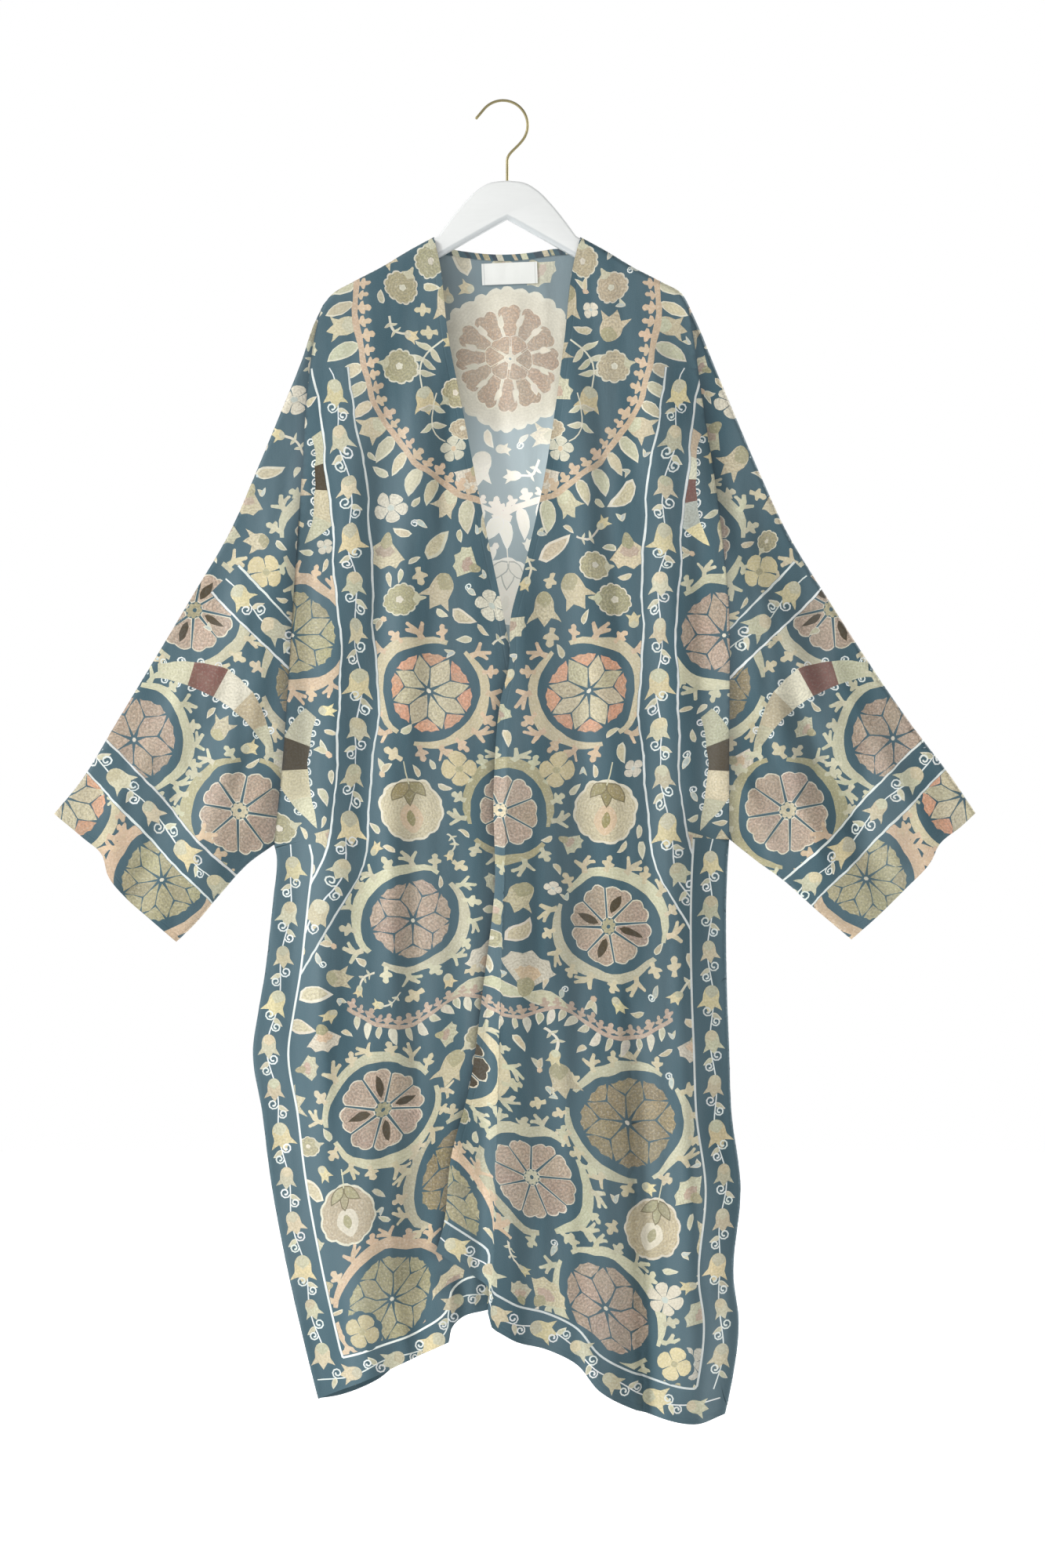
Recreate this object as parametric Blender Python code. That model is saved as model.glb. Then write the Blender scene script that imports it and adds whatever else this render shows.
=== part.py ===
"""Long open-front kimono hanging on a flat wooden hanger with a wire hook.

Metres, +Z up, front towards -Y. The origin is the inside of the hook's crown, where a nail or rail
carries it. Tables are in millimetres: 'across' is +X from the hang point, 'drop' is the distance below
it. Each cloth piece is a thin wall whose middle surface is worked out from a flat outline (across,
drop) by place(): the front and back sheets close on each other round the shoulders, the sleeve
folds and the side seams, and bow apart between them.
"""
from collections import namedtuple
from math import cos, radians, sin

import bmesh
import bpy
import numpy as np

MM = 0.001

# Driving sizes, millimetres
CLOTH = 1.2
SEAM_GAP = 0.3
FOLD_RADIUS = 6.0
SHOULDER_HALF = 8.5
EDGE_HALF = 4.5
CUFF_HALF = 9.0
CROWN_REACH = 70.0
BACK_SHARE = 0.8
OVERLAP_LIFT = 6.0
HEAD_EASE = 0.35
UNDERARM_EASE = 0.7
ARMHOLE_INSET = 0.21
NECK_STRIP_WIDTH = 7.0
NECK_STRIP_SPAN = (0.09, 0.91)
LABEL_WIDTH = 62.0
LABEL_HEIGHT = 24.0
LABEL_TILT = 2.3
LABEL_CENTRE = 7.0
LABEL_BELOW_STRIP = 1.9
LABEL_CURL = 1.6
TRIM_THICK = 0.9

HANGER_CENTRE = 4.8
WOOD_EASING = ((6.0, 3.4), (5.2, 1.3), (3.4, 0.0))
WOOD_BELOW_CLOTH = 2.17
ARM_HALF_SPAN = 192.0
ARM_TIP = 12.0
APEX_DROP = 130.6
UNDERSIDE_SLOPE = 0.5632
WIRE = 3.0
HOOK_RADIUS = 27.5
HOOK_TIP_ANGLE = 164.5
HOOK_END_ANGLE = -38.0
HOOK_BEND = 14.0
STEM_TOP = 66.0
STEM_BEND = 9.0

# Where the cloth changes, millimetres: from the shoulder's edge to the sleeve's, from the body's room to
# the cuff's, from the front's room to the back's, and where the fronts overlap
SHOULDER_ENDS, SLEEVE_BEGINS = 245.0, 325.0
CUFF_ROOM_REACH = 160.0
BACK_SHARE_FROM, BACK_SHARE_TO = 200.0, 400.0
FOLD_EDGE = 35.0
OVERLAP_FROM, OVERLAP_TO = 500.0, 590.0
OVERLAP_FLAT, OVERLAP_RUN = 12.0, 60.0

# Fullness of the rounding at closed edges, and the share of a fold's run over which it grows
EDGE_FULLNESS = 2.5
FOLD_GROWTH = 0.35

# Steps for slopes of the surface, metres
SLOPE_STEP = 0.00003
HAIR = 0.00005

# Shoulder line over the hanger's arms: distance out from the hanger's centre, drop
Arm = namedtuple("Arm", "out drop")
ARM_LINE = (
    Arm(81.5, 150.5), Arm(109.6, 165.8), Arm(137.5, 182.7), Arm(171.8, 200.6), Arm(194.0, 213.6),
)
# Wood above the cloth: distance out from the hanger's centre, drop
HUMP = (
    Arm(0.0, 87.9), Arm(20.5, 90.8), Arm(35.0, 99.8), Arm(48.7, 113.6), Arm(63.0, 131.0), Arm(76.5, 149.4),
)

# Outlines in the front view: across, drop
P = namedtuple("P", "across drop")
ARMHOLE = {
    "left": (
        P(-199.7, 226.2), P(-208.4, 261.0), P(-215.3, 308.0), P(-222.3, 414.1), P(-230.1, 530.7),
        P(-238.8, 667.3), P(-243.2, 730.8), P(-253.6, 823.9),
    ),
    "right": (
        P(204.0, 221.8), P(211.0, 261.0), P(221.4, 334.1), P(239.7, 457.6), P(250.1, 563.8),
        P(250.6, 667.3), P(250.1, 739.5), P(251.0, 817.8),
    ),
}
SLEEVE_TOP = {
    "left": (
        P(-199.7, 226.2), P(-210.1, 248.8), P(-222.3, 285.4), P(-244.0, 339.3), P(-272.7, 408.9),
        P(-303.2, 478.5), P(-344.1, 548.1), P(-427.6, 687.3), P(-470.2, 756.9), P(-497.6, 790.0),
    ),
    "right": (
        P(204.0, 221.8), P(217.9, 252.3), P(231.9, 287.1), P(253.6, 339.3), P(283.2, 408.9),
        P(315.4, 478.5), P(358.0, 548.1), P(450.2, 687.3), P(502.4, 756.9), P(524.2, 789.1),
    ),
}
SLEEVE_UNDER = {
    "left": (
        P(-253.6, 823.9), P(-281.4, 843.9), P(-313.6, 878.7), P(-343.2, 913.5), P(-362.4, 931.8),
    ),
    "right": (
        P(251.0, 817.8), P(284.1, 843.9), P(308.4, 861.3), P(347.6, 896.1), P(386.7, 929.2),
    ),
}
CUFF = {
    "left": (
        P(-497.6, 790.0), P(-465.0, 816.9), P(-444.1, 835.2), P(-437.2, 858.7), P(-418.9, 882.2),
        P(-390.2, 907.4), P(-362.4, 931.8),
    ),
    "right": (
        P(524.2, 789.1), P(509.4, 803.0), P(482.0, 826.0), P(475.5, 840.4), P(446.7, 872.6),
        P(423.3, 896.1), P(386.7, 929.2),
    ),
}
SIDE_SEAM = {
    "left": (
        P(-253.6, 823.9), P(-250.5, 838.0), P(-251.0, 855.0), P(-254.0, 880.0), P(-258.5, 922.0),
        P(-263.6, 965.7), P(-271.0, 1009.0), P(-277.1, 1052.7), P(-266.7, 1122.3),
        P(-258.0, 1191.9), P(-242.3, 1278.9), P(-218.8, 1383.3), P(-204.9, 1439.0),
    ),
    "right": (
        P(251.0, 817.8), P(249.3, 843.9), P(248.4, 983.1), P(251.0, 1052.7), P(253.6, 1122.3),
        P(263.5, 1200.0), P(256.2, 1309.3), P(261.4, 1348.5), P(254.5, 1418.1), P(246.6, 1455.5),
    ),
}
FRONT_EDGE = {
    "left": (
        P(-76.7, 150.5), P(-70.9, 174.9), P(-60.5, 261.0), P(-46.5, 332.3), P(-26.5, 436.7),
        P(-10.9, 513.3), P(2.2, 576.8), P(10.9, 626.4), P(23.1, 800.4), P(40.5, 991.8),
        P(56.1, 1191.9), P(64.8, 1313.7),
    ),
    "right": (
        P(86.3, 150.5), P(79.6, 174.9), P(68.3, 263.6), P(57.9, 342.8), P(42.7, 435.0),
        P(24.8, 513.3), P(8.3, 576.8), P(6.5, 628.1), P(-1.3, 659.5), P(-10.0, 756.9),
        P(-10.0, 870.9), P(-23.1, 991.8), P(-36.1, 1087.5), P(-57.0, 1169.3), P(-66.6, 1249.3),
        P(-73.5, 1271.9),
    ),
}
HEM = {
    "front_left": (
        P(64.8, 1313.7), P(16.1, 1326.8), P(-17.8, 1337.2), P(-43.9, 1344.2), P(-55.2, 1353.7),
        P(-60.5, 1374.6), P(-90.9, 1399.0), P(-137.0, 1416.4), P(-171.0, 1428.5), P(-204.9, 1439.0),
    ),
    "front_right": (
        P(-73.5, 1271.9), P(-53.5, 1285.0), P(-36.1, 1296.3), P(-19.5, 1309.0), P(-17.0, 1345.0),
        P(-6.0, 1356.5), P(13.0, 1369.0), P(48.3, 1379.0), P(82.2, 1396.3), P(106.6, 1425.1), P(130.9, 1439.8),
        P(168.3, 1454.6), P(217.1, 1463.3), P(246.6, 1455.5),
    ),
    "back": (
        P(-204.9, 1439.0), P(-171.0, 1435.5), P(-138.8, 1421.0), P(-105.7, 1388.0), P(-70.9, 1350.0),
        P(-36.1, 1322.0), P(-1.3, 1316.0), P(50.9, 1342.0), P(103.1, 1392.0), P(155.3, 1435.5),
        P(207.5, 1452.9), P(246.6, 1455.5),
    ),
}
BACK_NECK = (
    P(-76.7, 150.5), P(-69.0, 159.6), P(-51.8, 163.6), P(-27.4, 167.0), P(0.0, 168.5), P(26.5, 166.8),
    P(53.5, 162.6), P(79.0, 158.3), P(86.3, 150.5),
)

# Half of the room between the front and back sheets, by drop
Room = namedtuple("Room", "drop half")
ROOM = (Room(150, 8.5), Room(300, 11), Room(500, 15), Room(820, 20), Room(1150, 24), Room(1460, 28))

# Folds: the line they run along, how far they stand out (trough if negative), the width of each
# flank, and how far the steeper flank tucks under
Fold = namedtuple("Fold", "top_across top_drop foot_across foot_drop rise left_width right_width tuck")
FRONT_FOLDS = {
    "front_left": (
        Fold(-57, 1290, -60, 1392, 9, 42, 9, 0),
        Fold(-170, 980, -150, 1430, 6, 26, 34, 0),
        Fold(-228, 900, -215, 1400, -5, 14, 22, 0),
        Fold(-90, 260, -110, 640, 4, 18, 26, 0),
        Fold(-160, 240, -190, 760, 4, 20, 30, 0),
    ),
    "front_right": (
        Fold(8, 640, -14, 1390, 13, 8, 62, 7),
        Fold(138, 930, 158, 1460, -12, 7, 24, 0),
        Fold(108, 900, 120, 1460, 8, 30, 22, 0),
        Fold(205, 1120, 222, 1470, 7, 24, 26, 0),
        Fold(70, 220, 105, 640, 4, 18, 26, 0),
        Fold(165, 240, 190, 760, 4, 20, 30, 0),
    ),
}
BACK_FOLDS = {
    "back": (
        Fold(-150, 900, -165, 1450, 9, 30, 26, 0),
        Fold(-60, 760, -75, 1450, 8, 34, 30, 0),
        Fold(35, 820, 30, 1450, 10, 30, 36, 0),
        Fold(130, 760, 150, 1460, 9, 26, 32, 0),
        Fold(-120, 240, -140, 700, 4, 26, 26, 0),
        Fold(120, 240, 140, 700, 4, 26, 26, 0),
    ),
}
SLEEVE_FOLDS = {
    "left": (
        Fold(-236, 420, -330, 840, 5, 18, 26, 0),
        Fold(-262, 560, -400, 860, -4, 16, 20, 0),
        Fold(-250, 740, -300, 850, 5, 14, 12, 0),
    ),
    "right": (
        Fold(252, 430, 345, 850, 5, 26, 18, 0),
        Fold(280, 580, 420, 860, -4, 20, 16, 0),
        Fold(258, 740, 305, 850, 5, 12, 14, 0),
    ),
}

# Columns and rows of the cloth grids: the share of the way across, and the steps up to it
Span = namedtuple("Span", "share steps")
NEAR_FOLD = (0.002, 0.007, 0.0175, 0.042)
NEAR_ARMHOLE = (0.0175, 0.0065, 0.0018, 0.0)
ARMHOLE_SHARE = 0.5
ARMHOLE_STEPS = 6
SIDE_SPANS = (Span(0.512, 1), Span(0.54, 1), Span(1.0, 13))
FRONT_COLUMNS = {
    "front_left": (Span(0.38, 5), Span(0.48, 3), Span(0.93, 6), Span(0.965, 1)),
    "front_right": (Span(0.12, 3), Span(0.2, 4), Span(0.5, 4), Span(0.66, 4), Span(0.93, 3), Span(0.965, 1)),
}
SHOULDER_COLUMNS = (0.014, 0.045, 0.11, 0.33, 0.66)
NECK_COLUMNS = (0.004, 0.016, 0.045)
NECK_STEPS = 9
SLEEVE_SPANS = (Span(0.9, 11), Span(1.0, 2))
STRIP_POINTS = 23
LABEL_POINTS = (9, 5)
HUMP_POINTS = 12
ARM_POINTS = 8
ARM_START = 0.06
TIP_POINTS = 6
HOOK_POINTS = 26
STEM_POINTS = 9


def smooth_curve(rows, shares):
    """Points at the given shares of a smooth curve through the rows, in metres."""
    points = np.array([(row[0], row[1]) for row in rows], float) * MM
    knots = np.concatenate([[0.0], np.cumsum(np.linalg.norm(np.diff(points, axis=0), axis=1))])
    slopes = np.diff(points, axis=0) / np.diff(knots)[:, None]
    spans = np.diff(knots)[:, None]
    inner = (slopes[:-1] * spans[1:] + slopes[1:] * spans[:-1]) / (spans[:-1] + spans[1:])
    tangents = np.vstack([slopes[:1], inner, slopes[-1:]])
    where = np.clip(np.asarray(shares, float), 0.0, 1.0) * knots[-1]
    index = np.clip(np.searchsorted(knots, where, side="right") - 1, 0, len(knots) - 2)
    step = (knots[index + 1] - knots[index])[:, None]
    u = (where - knots[index])[:, None] / step
    return (
        points[index] * (2 * u**3 - 3 * u**2 + 1) + tangents[index] * step * (u**3 - 2 * u**2 + u)
        + points[index + 1] * (3 * u**2 - 2 * u**3) + tangents[index + 1] * step * (u**3 - u**2)
    )


def ease(x):
    """0 below 0, 1 above 1, smooth between."""
    x = np.clip(x, 0.0, 1.0)
    return x * x * (3 - 2 * x)


def ramp(x, start, end):
    """0 at the start and 1 at the end, both in millimetres, for x in metres."""
    return ease((x / MM - start) / (end - start))


def shoulder_rows(side):
    """Shoulder line from the neck point to the sleeve head."""
    sign = 1 if side == "right" else -1
    line = [P(HANGER_CENTRE + sign * arm.out, arm.drop) for arm in ARM_LINE]
    return tuple(line) + (SLEEVE_TOP[side][0],)


def closed_edges():
    """The lines along which the front and back sheets close: shoulders, sleeve folds and seams."""
    lines = []
    for side in ("left", "right"):
        for rows in (shoulder_rows(side), SLEEVE_TOP[side], SLEEVE_UNDER[side], SIDE_SEAM[side]):
            lines.append(smooth_curve(rows, np.linspace(0, 1, 60)))
    return lines


CLOSED_EDGES = closed_edges()


def edge_distance(flat):
    """Distance of flat points from the nearest closed edge."""
    nearest = np.full(len(flat), np.inf)
    for line in CLOSED_EDGES:
        start, step = line[:-1], np.diff(line, axis=0)
        offset = flat[:, None, :] - start[None, :, :]
        along = np.clip((offset * step).sum(2) / (step * step).sum(1), 0.0, 1.0)
        gap = offset - along[:, :, None] * step[None, :, :]
        nearest = np.minimum(nearest, np.sqrt((gap * gap).sum(2)).min(1))
    return nearest


def beyond_armhole(flat):
    """How far flat points lie outside the body's armholes and side seams."""
    reach = np.full(len(flat), -np.inf)
    for side, sign in (("left", -1), ("right", 1)):
        line = np.vstack([smooth_curve(ARMHOLE[side], np.linspace(0, 1, 40)),
                          smooth_curve(SIDE_SEAM[side], np.linspace(0, 1, 40))[1:]])
        reach = np.maximum(reach, sign * (flat[:, 0] - np.interp(flat[:, 1], line[:, 1], line[:, 0])))
    return reach


def half_room(flat):
    """Half of the room between the sheets at flat points, rounded over at the closed edges."""
    distance = edge_distance(flat)
    room = np.interp(flat[:, 1], [r.drop * MM for r in ROOM], [r.half * MM for r in ROOM])
    room = room + (CUFF_HALF * MM - room) * ease(beyond_armhole(flat) / (CUFF_ROOM_REACH * MM))
    below = ramp(flat[:, 1], SHOULDER_ENDS, SLEEVE_BEGINS)
    edge = (SHOULDER_HALF + (EDGE_HALF - SHOULDER_HALF) * below) * MM
    rounding = np.clip(distance / (FOLD_RADIUS * MM), 0.0, 1.0)
    rim = (1 - (1 - rounding) ** EDGE_FULLNESS) ** (1 / EDGE_FULLNESS)
    return rim * (edge + (np.maximum(room, edge) - edge) * ease(distance / (CROWN_REACH * MM)))


def fold_shape(flat, folds):
    """Height of the folds at flat points, and how far they shift sideways."""
    rise, shift = np.zeros(len(flat)), np.zeros(len(flat))
    for fold in folds:
        top = np.array([fold.top_across, fold.top_drop]) * MM
        run = np.array([fold.foot_across, fold.foot_drop]) * MM - top
        length = np.linalg.norm(run)
        offset = flat - top
        along = offset @ run / length**2
        sideways = (offset[:, 0] * run[1] - offset[:, 1] * run[0]) / length
        width = np.where(sideways < 0, fold.left_width, fold.right_width) * MM
        growth = ease(along / FOLD_GROWTH)
        rise += fold.rise * MM * growth * np.exp(-((sideways / width) ** 2))
        steep = sideways / (min(fold.left_width, fold.right_width) * MM)
        shift -= fold.tuck * MM * growth * steep * np.exp(-(steep**2))
    return rise, shift


def overlap_lift(flat):
    """How far the right front stands off where it lies over the left one."""
    under = smooth_curve(FRONT_EDGE["left"], np.linspace(0, 1, 60))
    edge = np.interp(flat[:, 1], under[:, 1], under[:, 0])
    beyond = ease((flat[:, 0] - edge - OVERLAP_FLAT * MM) / (OVERLAP_RUN * MM))
    return OVERLAP_LIFT * MM * ramp(flat[:, 1], OVERLAP_FROM, OVERLAP_TO) * (1 - beyond)


def place(flat, facing, folds, over=False):
    """Middle surface of the cloth over flat points: facing is -1 in front and 1 behind."""
    room = half_room(flat)
    inside = ease(edge_distance(flat) / (FOLD_EDGE * MM))
    rise, shift = fold_shape(flat, folds)
    lift = overlap_lift(flat) if over else 0.0
    share = 1.0
    if facing > 0:
        share = 1 + (BACK_SHARE - 1) * ramp(flat[:, 1], BACK_SHARE_FROM, BACK_SHARE_TO)
    depth = facing * (room * share + rise * inside + lift)
    return np.stack([flat[:, 0] + shift * inside, depth, -flat[:, 1]], axis=1)


def coons(top, bottom, left, right, s, t):
    """Flat grid spanning four edges, rows along t and columns along s."""
    s, t = s[None, :, None], t[:, None, None]
    corners = (
        (1 - s) * (1 - t) * top[0] + s * (1 - t) * top[-1] + (1 - s) * t * bottom[0] + s * t * bottom[-1]
    )
    return (1 - t) * top[None] + t * bottom[None] + (1 - s) * left[:, None] + s * right[:, None] - corners


def spread(spans, first=0.0):
    """Shares from the first one, evenly stepped within each span."""
    shares = [first]
    for span in spans:
        shares += list(np.linspace(shares[-1], span.share, span.steps + 1)[1:])
    return np.array(shares)


def armhole_shares():
    """Shares down the armhole, close together at both ends where the cloth turns over."""
    near = list(NEAR_FOLD)
    middle = list(np.linspace(near[-1], 1 - near[-1], ARMHOLE_STEPS + 1)[1:-1])
    return np.array([0.0] + near + middle + [1 - share for share in reversed(near)] + [1.0])


def body_side(side, inset):
    """Outer edge of the body panels, armhole then side seam, with the shares of its points."""
    armhole = armhole_shares() * ARMHOLE_SHARE
    seam = spread(SIDE_SPANS, ARMHOLE_SHARE)[1:]
    upper = smooth_curve(ARMHOLE[side], armhole / ARMHOLE_SHARE)
    lower = smooth_curve(SIDE_SEAM[side], (seam - ARMHOLE_SHARE) / (1 - ARMHOLE_SHARE))
    upper[:, 0] += inset * (1 if side == "left" else -1)
    return np.vstack([upper, lower]), np.concatenate([armhole, seam])


def normals(grid, facing, folds, over):
    """Outward normals of the middle surface over a flat grid."""
    flat = grid.reshape(-1, 2)
    slopes = []
    for step in ([SLOPE_STEP, 0], [0, SLOPE_STEP]):
        slopes.append(place(flat + step, facing, folds, over) - place(flat - step, facing, folds, over))
    across, down = slopes
    normal = np.cross(across, down) * facing
    normal /= np.linalg.norm(normal, axis=1)[:, None]
    return normal.reshape(grid.shape[0], grid.shape[1], 3)


def nudged(grid, edges):
    """The flat grid with its closed edges moved a hair inwards, where the normal is well defined."""
    moved = grid.copy()
    pairs = {"top": (np.s_[0, :], np.s_[3, :]), "left": (np.s_[:, 0], np.s_[:, 3]),
             "right": (np.s_[:, -1], np.s_[:, -4])}
    for edge, rows in edges.items():
        line, inner = pairs[edge]
        way = grid[inner] - grid[line]
        way = way / np.linalg.norm(way, axis=1)[:, None]
        moved[line] = np.where(rows[:, None], grid[line] + HAIR * way, moved[line])
    return moved


def wall_between(outer, inner):
    """Closed mesh between two matching grids of points, as vertices and triangles."""
    rows, columns = outer.shape[:2]
    vertices = np.vstack([outer.reshape(-1, 3), inner.reshape(-1, 3)])
    count = rows * columns
    faces = []

    def quad(a, b, c, d):
        faces.append((a, b, c))
        faces.append((a, c, d))

    for i in range(rows - 1):
        for j in range(columns - 1):
            a, b = i * columns + j, i * columns + j + 1
            c, d = b + columns, a + columns
            quad(a, d, c, b)
            quad(count + a, count + b, count + c, count + d)
    rim = [j for j in range(columns)]
    rim += [i * columns + columns - 1 for i in range(1, rows)]
    rim += [(rows - 1) * columns + j for j in range(columns - 2, -1, -1)]
    rim += [i * columns for i in range(rows - 2, 0, -1)]
    for a, b in zip(rim, rim[1:] + rim[:1]):
        quad(a, b, count + b, count + a)
    return vertices, faces


def new_material(name, colour, roughness, metallic=0.0):
    """Plain Principled material."""
    material = bpy.data.materials.new(name)
    material.use_nodes = True
    shader = material.node_tree.nodes["Principled BSDF"]
    shader.inputs["Base Color"].default_value = (*colour, 1.0)
    shader.inputs["Roughness"].default_value = roughness
    shader.inputs["Metallic"].default_value = metallic
    material.diffuse_color = (*colour, 1.0)
    return material


def new_object(name, vertices, faces, material):
    """Named object with faces turned outwards and smooth shading."""
    mesh = bpy.data.meshes.new(name)
    mesh.from_pydata([tuple(v) for v in vertices], [], faces)
    work = bmesh.new()
    work.from_mesh(mesh)
    bmesh.ops.recalc_face_normals(work, faces=work.faces)
    work.to_mesh(mesh)
    work.free()
    mesh.shade_smooth()
    mesh.set_sharp_from_angle(angle=radians(50))
    mesh.materials.append(material)
    thing = bpy.data.objects.new(name, mesh)
    bpy.context.collection.objects.link(thing)
    return thing


def sheet(name, grid, facing, folds, material, closed, over=False):
    """One cloth panel: a wall on both sides of its middle surface, square to its seams."""
    middle = place(grid.reshape(-1, 2), facing, folds, over).reshape(*grid.shape[:2], 3)
    reach = normals(nudged(grid, closed), facing, folds, over) * CLOTH / 2 * MM
    outer, inner = middle + reach, middle - reach
    lines = {"top": np.s_[0, :], "left": np.s_[:, 0], "right": np.s_[:, -1]}
    for edge, rows in closed.items():
        for surface in (outer, inner):
            depth = surface[lines[edge]][:, 1]
            depth[rows] = facing * SEAM_GAP / 2 * MM
            surface[lines[edge] + (1,)] = depth
    vertices, faces = wall_between(outer, inner)
    return new_object(name, vertices, faces, material)


def front(side, material):
    """One front, from the shoulder to the hem."""
    name = f"front_{side}"
    outer_edge, t = body_side(side, ARMHOLE_INSET * MM)
    s = spread(FRONT_COLUMNS[name])
    s = np.concatenate([s, 1 - np.array(NEAR_ARMHOLE)])
    top = smooth_curve(shoulder_rows(side), s)
    hem = smooth_curve(HEM[name], s)
    inner_edge = smooth_curve(FRONT_EDGE[side], t)
    outer_edge[0] = top[-1]
    inner_edge[0] = top[0]
    grid = coons(top, hem, inner_edge, outer_edge, s, t)
    closed = {"top": np.full(len(s), True), "right": (t >= ARMHOLE_SHARE) | (t == 0)}
    return sheet(name, grid, -1, FRONT_FOLDS[name], material, closed, over=side == "right")


def back(material):
    """The back in one piece, with its neckline between the shoulders."""
    shoulder = [0.0] + list(SHOULDER_COLUMNS) + [1.0]
    left = smooth_curve(shoulder_rows("left")[::-1], shoulder)
    right = smooth_curve(shoulder_rows("right"), 1 - np.array(shoulder[::-1]))
    near = [0.0] + list(NECK_COLUMNS)
    middle = list(np.linspace(near[-1], 1 - near[-1], NECK_STEPS + 1)[1:-1])
    neck = smooth_curve(BACK_NECK, near + middle + [1 - share for share in reversed(near)])
    top = np.vstack([left[:-1], neck, right[1:]])
    lengths = np.concatenate([[0.0], np.cumsum(np.linalg.norm(np.diff(top, axis=0), axis=1))])
    s = lengths / lengths[-1]
    left_edge, t = body_side("left", ARMHOLE_INSET * MM)
    right_edge, t = body_side("right", ARMHOLE_INSET * MM)
    left_edge[0], right_edge[0] = top[0], top[-1]
    grid = coons(top, smooth_curve(HEM["back"], s), left_edge, right_edge, s, t)
    on_shoulder = np.arange(len(s))
    on_shoulder = (on_shoulder <= len(left) - 1) | (on_shoulder >= len(s) - len(right))
    on_seam = (t >= ARMHOLE_SHARE) | (t == 0)
    closed = {"top": on_shoulder, "left": on_seam, "right": on_seam}
    return sheet("back", grid, 1, BACK_FOLDS["back"], material, closed)


def sleeve(side, material):
    """One sleeve: a flat tube from the armhole to the open cuff, folded along its top."""
    s, t = armhole_shares(), spread(SLEEVE_SPANS)
    armhole = smooth_curve(ARMHOLE[side], s)
    armhole[:, 0] += ARMHOLE_INSET * MM * (-1 if side == "left" else 1)
    cuff = smooth_curve(CUFF[side], s)
    out = -1 if side == "left" else 1
    armhole[0] += np.array([out, 1]) * HEAD_EASE * MM
    armhole[-1] += np.array([out * 2, -1]) * UNDERARM_EASE * MM
    upper, under = smooth_curve(SLEEVE_TOP[side], t), smooth_curve(SLEEVE_UNDER[side], t)
    upper[0], under[0] = armhole[0], armhole[-1]
    grid = coons(armhole, cuff, upper, under, s, t)
    everywhere = np.full(len(t), True)
    rings = []
    for facing in (-1, 1):
        middle = place(grid.reshape(-1, 2), facing, SLEEVE_FOLDS[side]).reshape(*grid.shape[:2], 3)
        closed = {"left": everywhere, "right": everywhere}
        reach = normals(nudged(grid, closed), facing, SLEEVE_FOLDS[side], False) * CLOTH / 2 * MM
        rings.append((middle + reach, middle - reach))
    surfaces = []
    for front_sheet, back_sheet in zip(*rings):
        for column in (0, -1):
            front_sheet[:, column, 1] = 0.0
        surfaces.append(np.concatenate([front_sheet, back_sheet[:, -2:0:-1]], axis=1))
    vertices, faces = tube_between(*surfaces)
    return new_object(f"sleeve_{side}", vertices, faces, material)


def tube_between(outer, inner):
    """Closed mesh between two matching stacks of rings, open at both ends."""
    rows, columns = outer.shape[:2]
    count = rows * columns
    vertices = np.vstack([outer.reshape(-1, 3), inner.reshape(-1, 3)])
    faces = []
    for j in range(columns):
        k = (j + 1) % columns
        for i in range(rows - 1):
            a, b, c, d = i * columns + j, i * columns + k, (i + 1) * columns + k, (i + 1) * columns + j
            faces += [(a, d, c), (a, c, b)]
            faces += [(count + a, count + b, count + c), (count + a, count + c, count + d)]
        for a, b in ((j, k), (count - columns + k, count - columns + j)):
            faces += [(a, b, count + b), (a, count + b, count + a)]
    return vertices, faces


def on_back(flat, start, thick):
    """Outer and inner points of a piece that lies on the back's inside, 'start' off its middle."""
    middle = place(flat.reshape(-1, 2), 1, BACK_FOLDS["back"]).reshape(*flat.shape[:2], 3)
    inward = -normals(flat, 1, BACK_FOLDS["back"], False)
    near = middle + inward * (start[..., None] if np.ndim(start) else start)
    return near, near + inward * thick


def neck_strip(material):
    """Narrow turned strip that finishes the back neckline inside."""
    edge = smooth_curve(BACK_NECK, np.linspace(*NECK_STRIP_SPAN, STRIP_POINTS))
    width = NECK_STRIP_WIDTH * MM
    grid = np.stack([edge + [0, down] for down in (CLOTH / 6 * MM, width / 2, width)])
    near, far = on_back(grid, (CLOTH / 2 + SEAM_GAP) * MM, TRIM_THICK * MM)
    return new_object("neck_strip", *wall_between(far, near), material)


def neck_label(material):
    """Blank woven label below the strip; its free lower edge stands off the cloth a little."""
    columns, rows = LABEL_POINTS
    u, v = np.meshgrid(np.linspace(-0.5, 0.5, columns), np.linspace(0.0, 1.0, rows))
    tilt = radians(LABEL_TILT)
    top = BACK_NECK[4].drop + NECK_STRIP_WIDTH + LABEL_BELOW_STRIP
    x = LABEL_CENTRE + u * LABEL_WIDTH * cos(tilt) + v * LABEL_HEIGHT * sin(tilt)
    drop = top - u * LABEL_WIDTH * sin(tilt) + v * LABEL_HEIGHT * cos(tilt)
    grid = np.stack([x, drop], axis=2) * MM
    start = CLOTH / 2 + SEAM_GAP + LABEL_CURL * v**3 * (0.6 - u)
    near, far = on_back(grid, start * MM, TRIM_THICK * MM)
    return new_object("neck_label", *wall_between(far, near), material)


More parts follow.
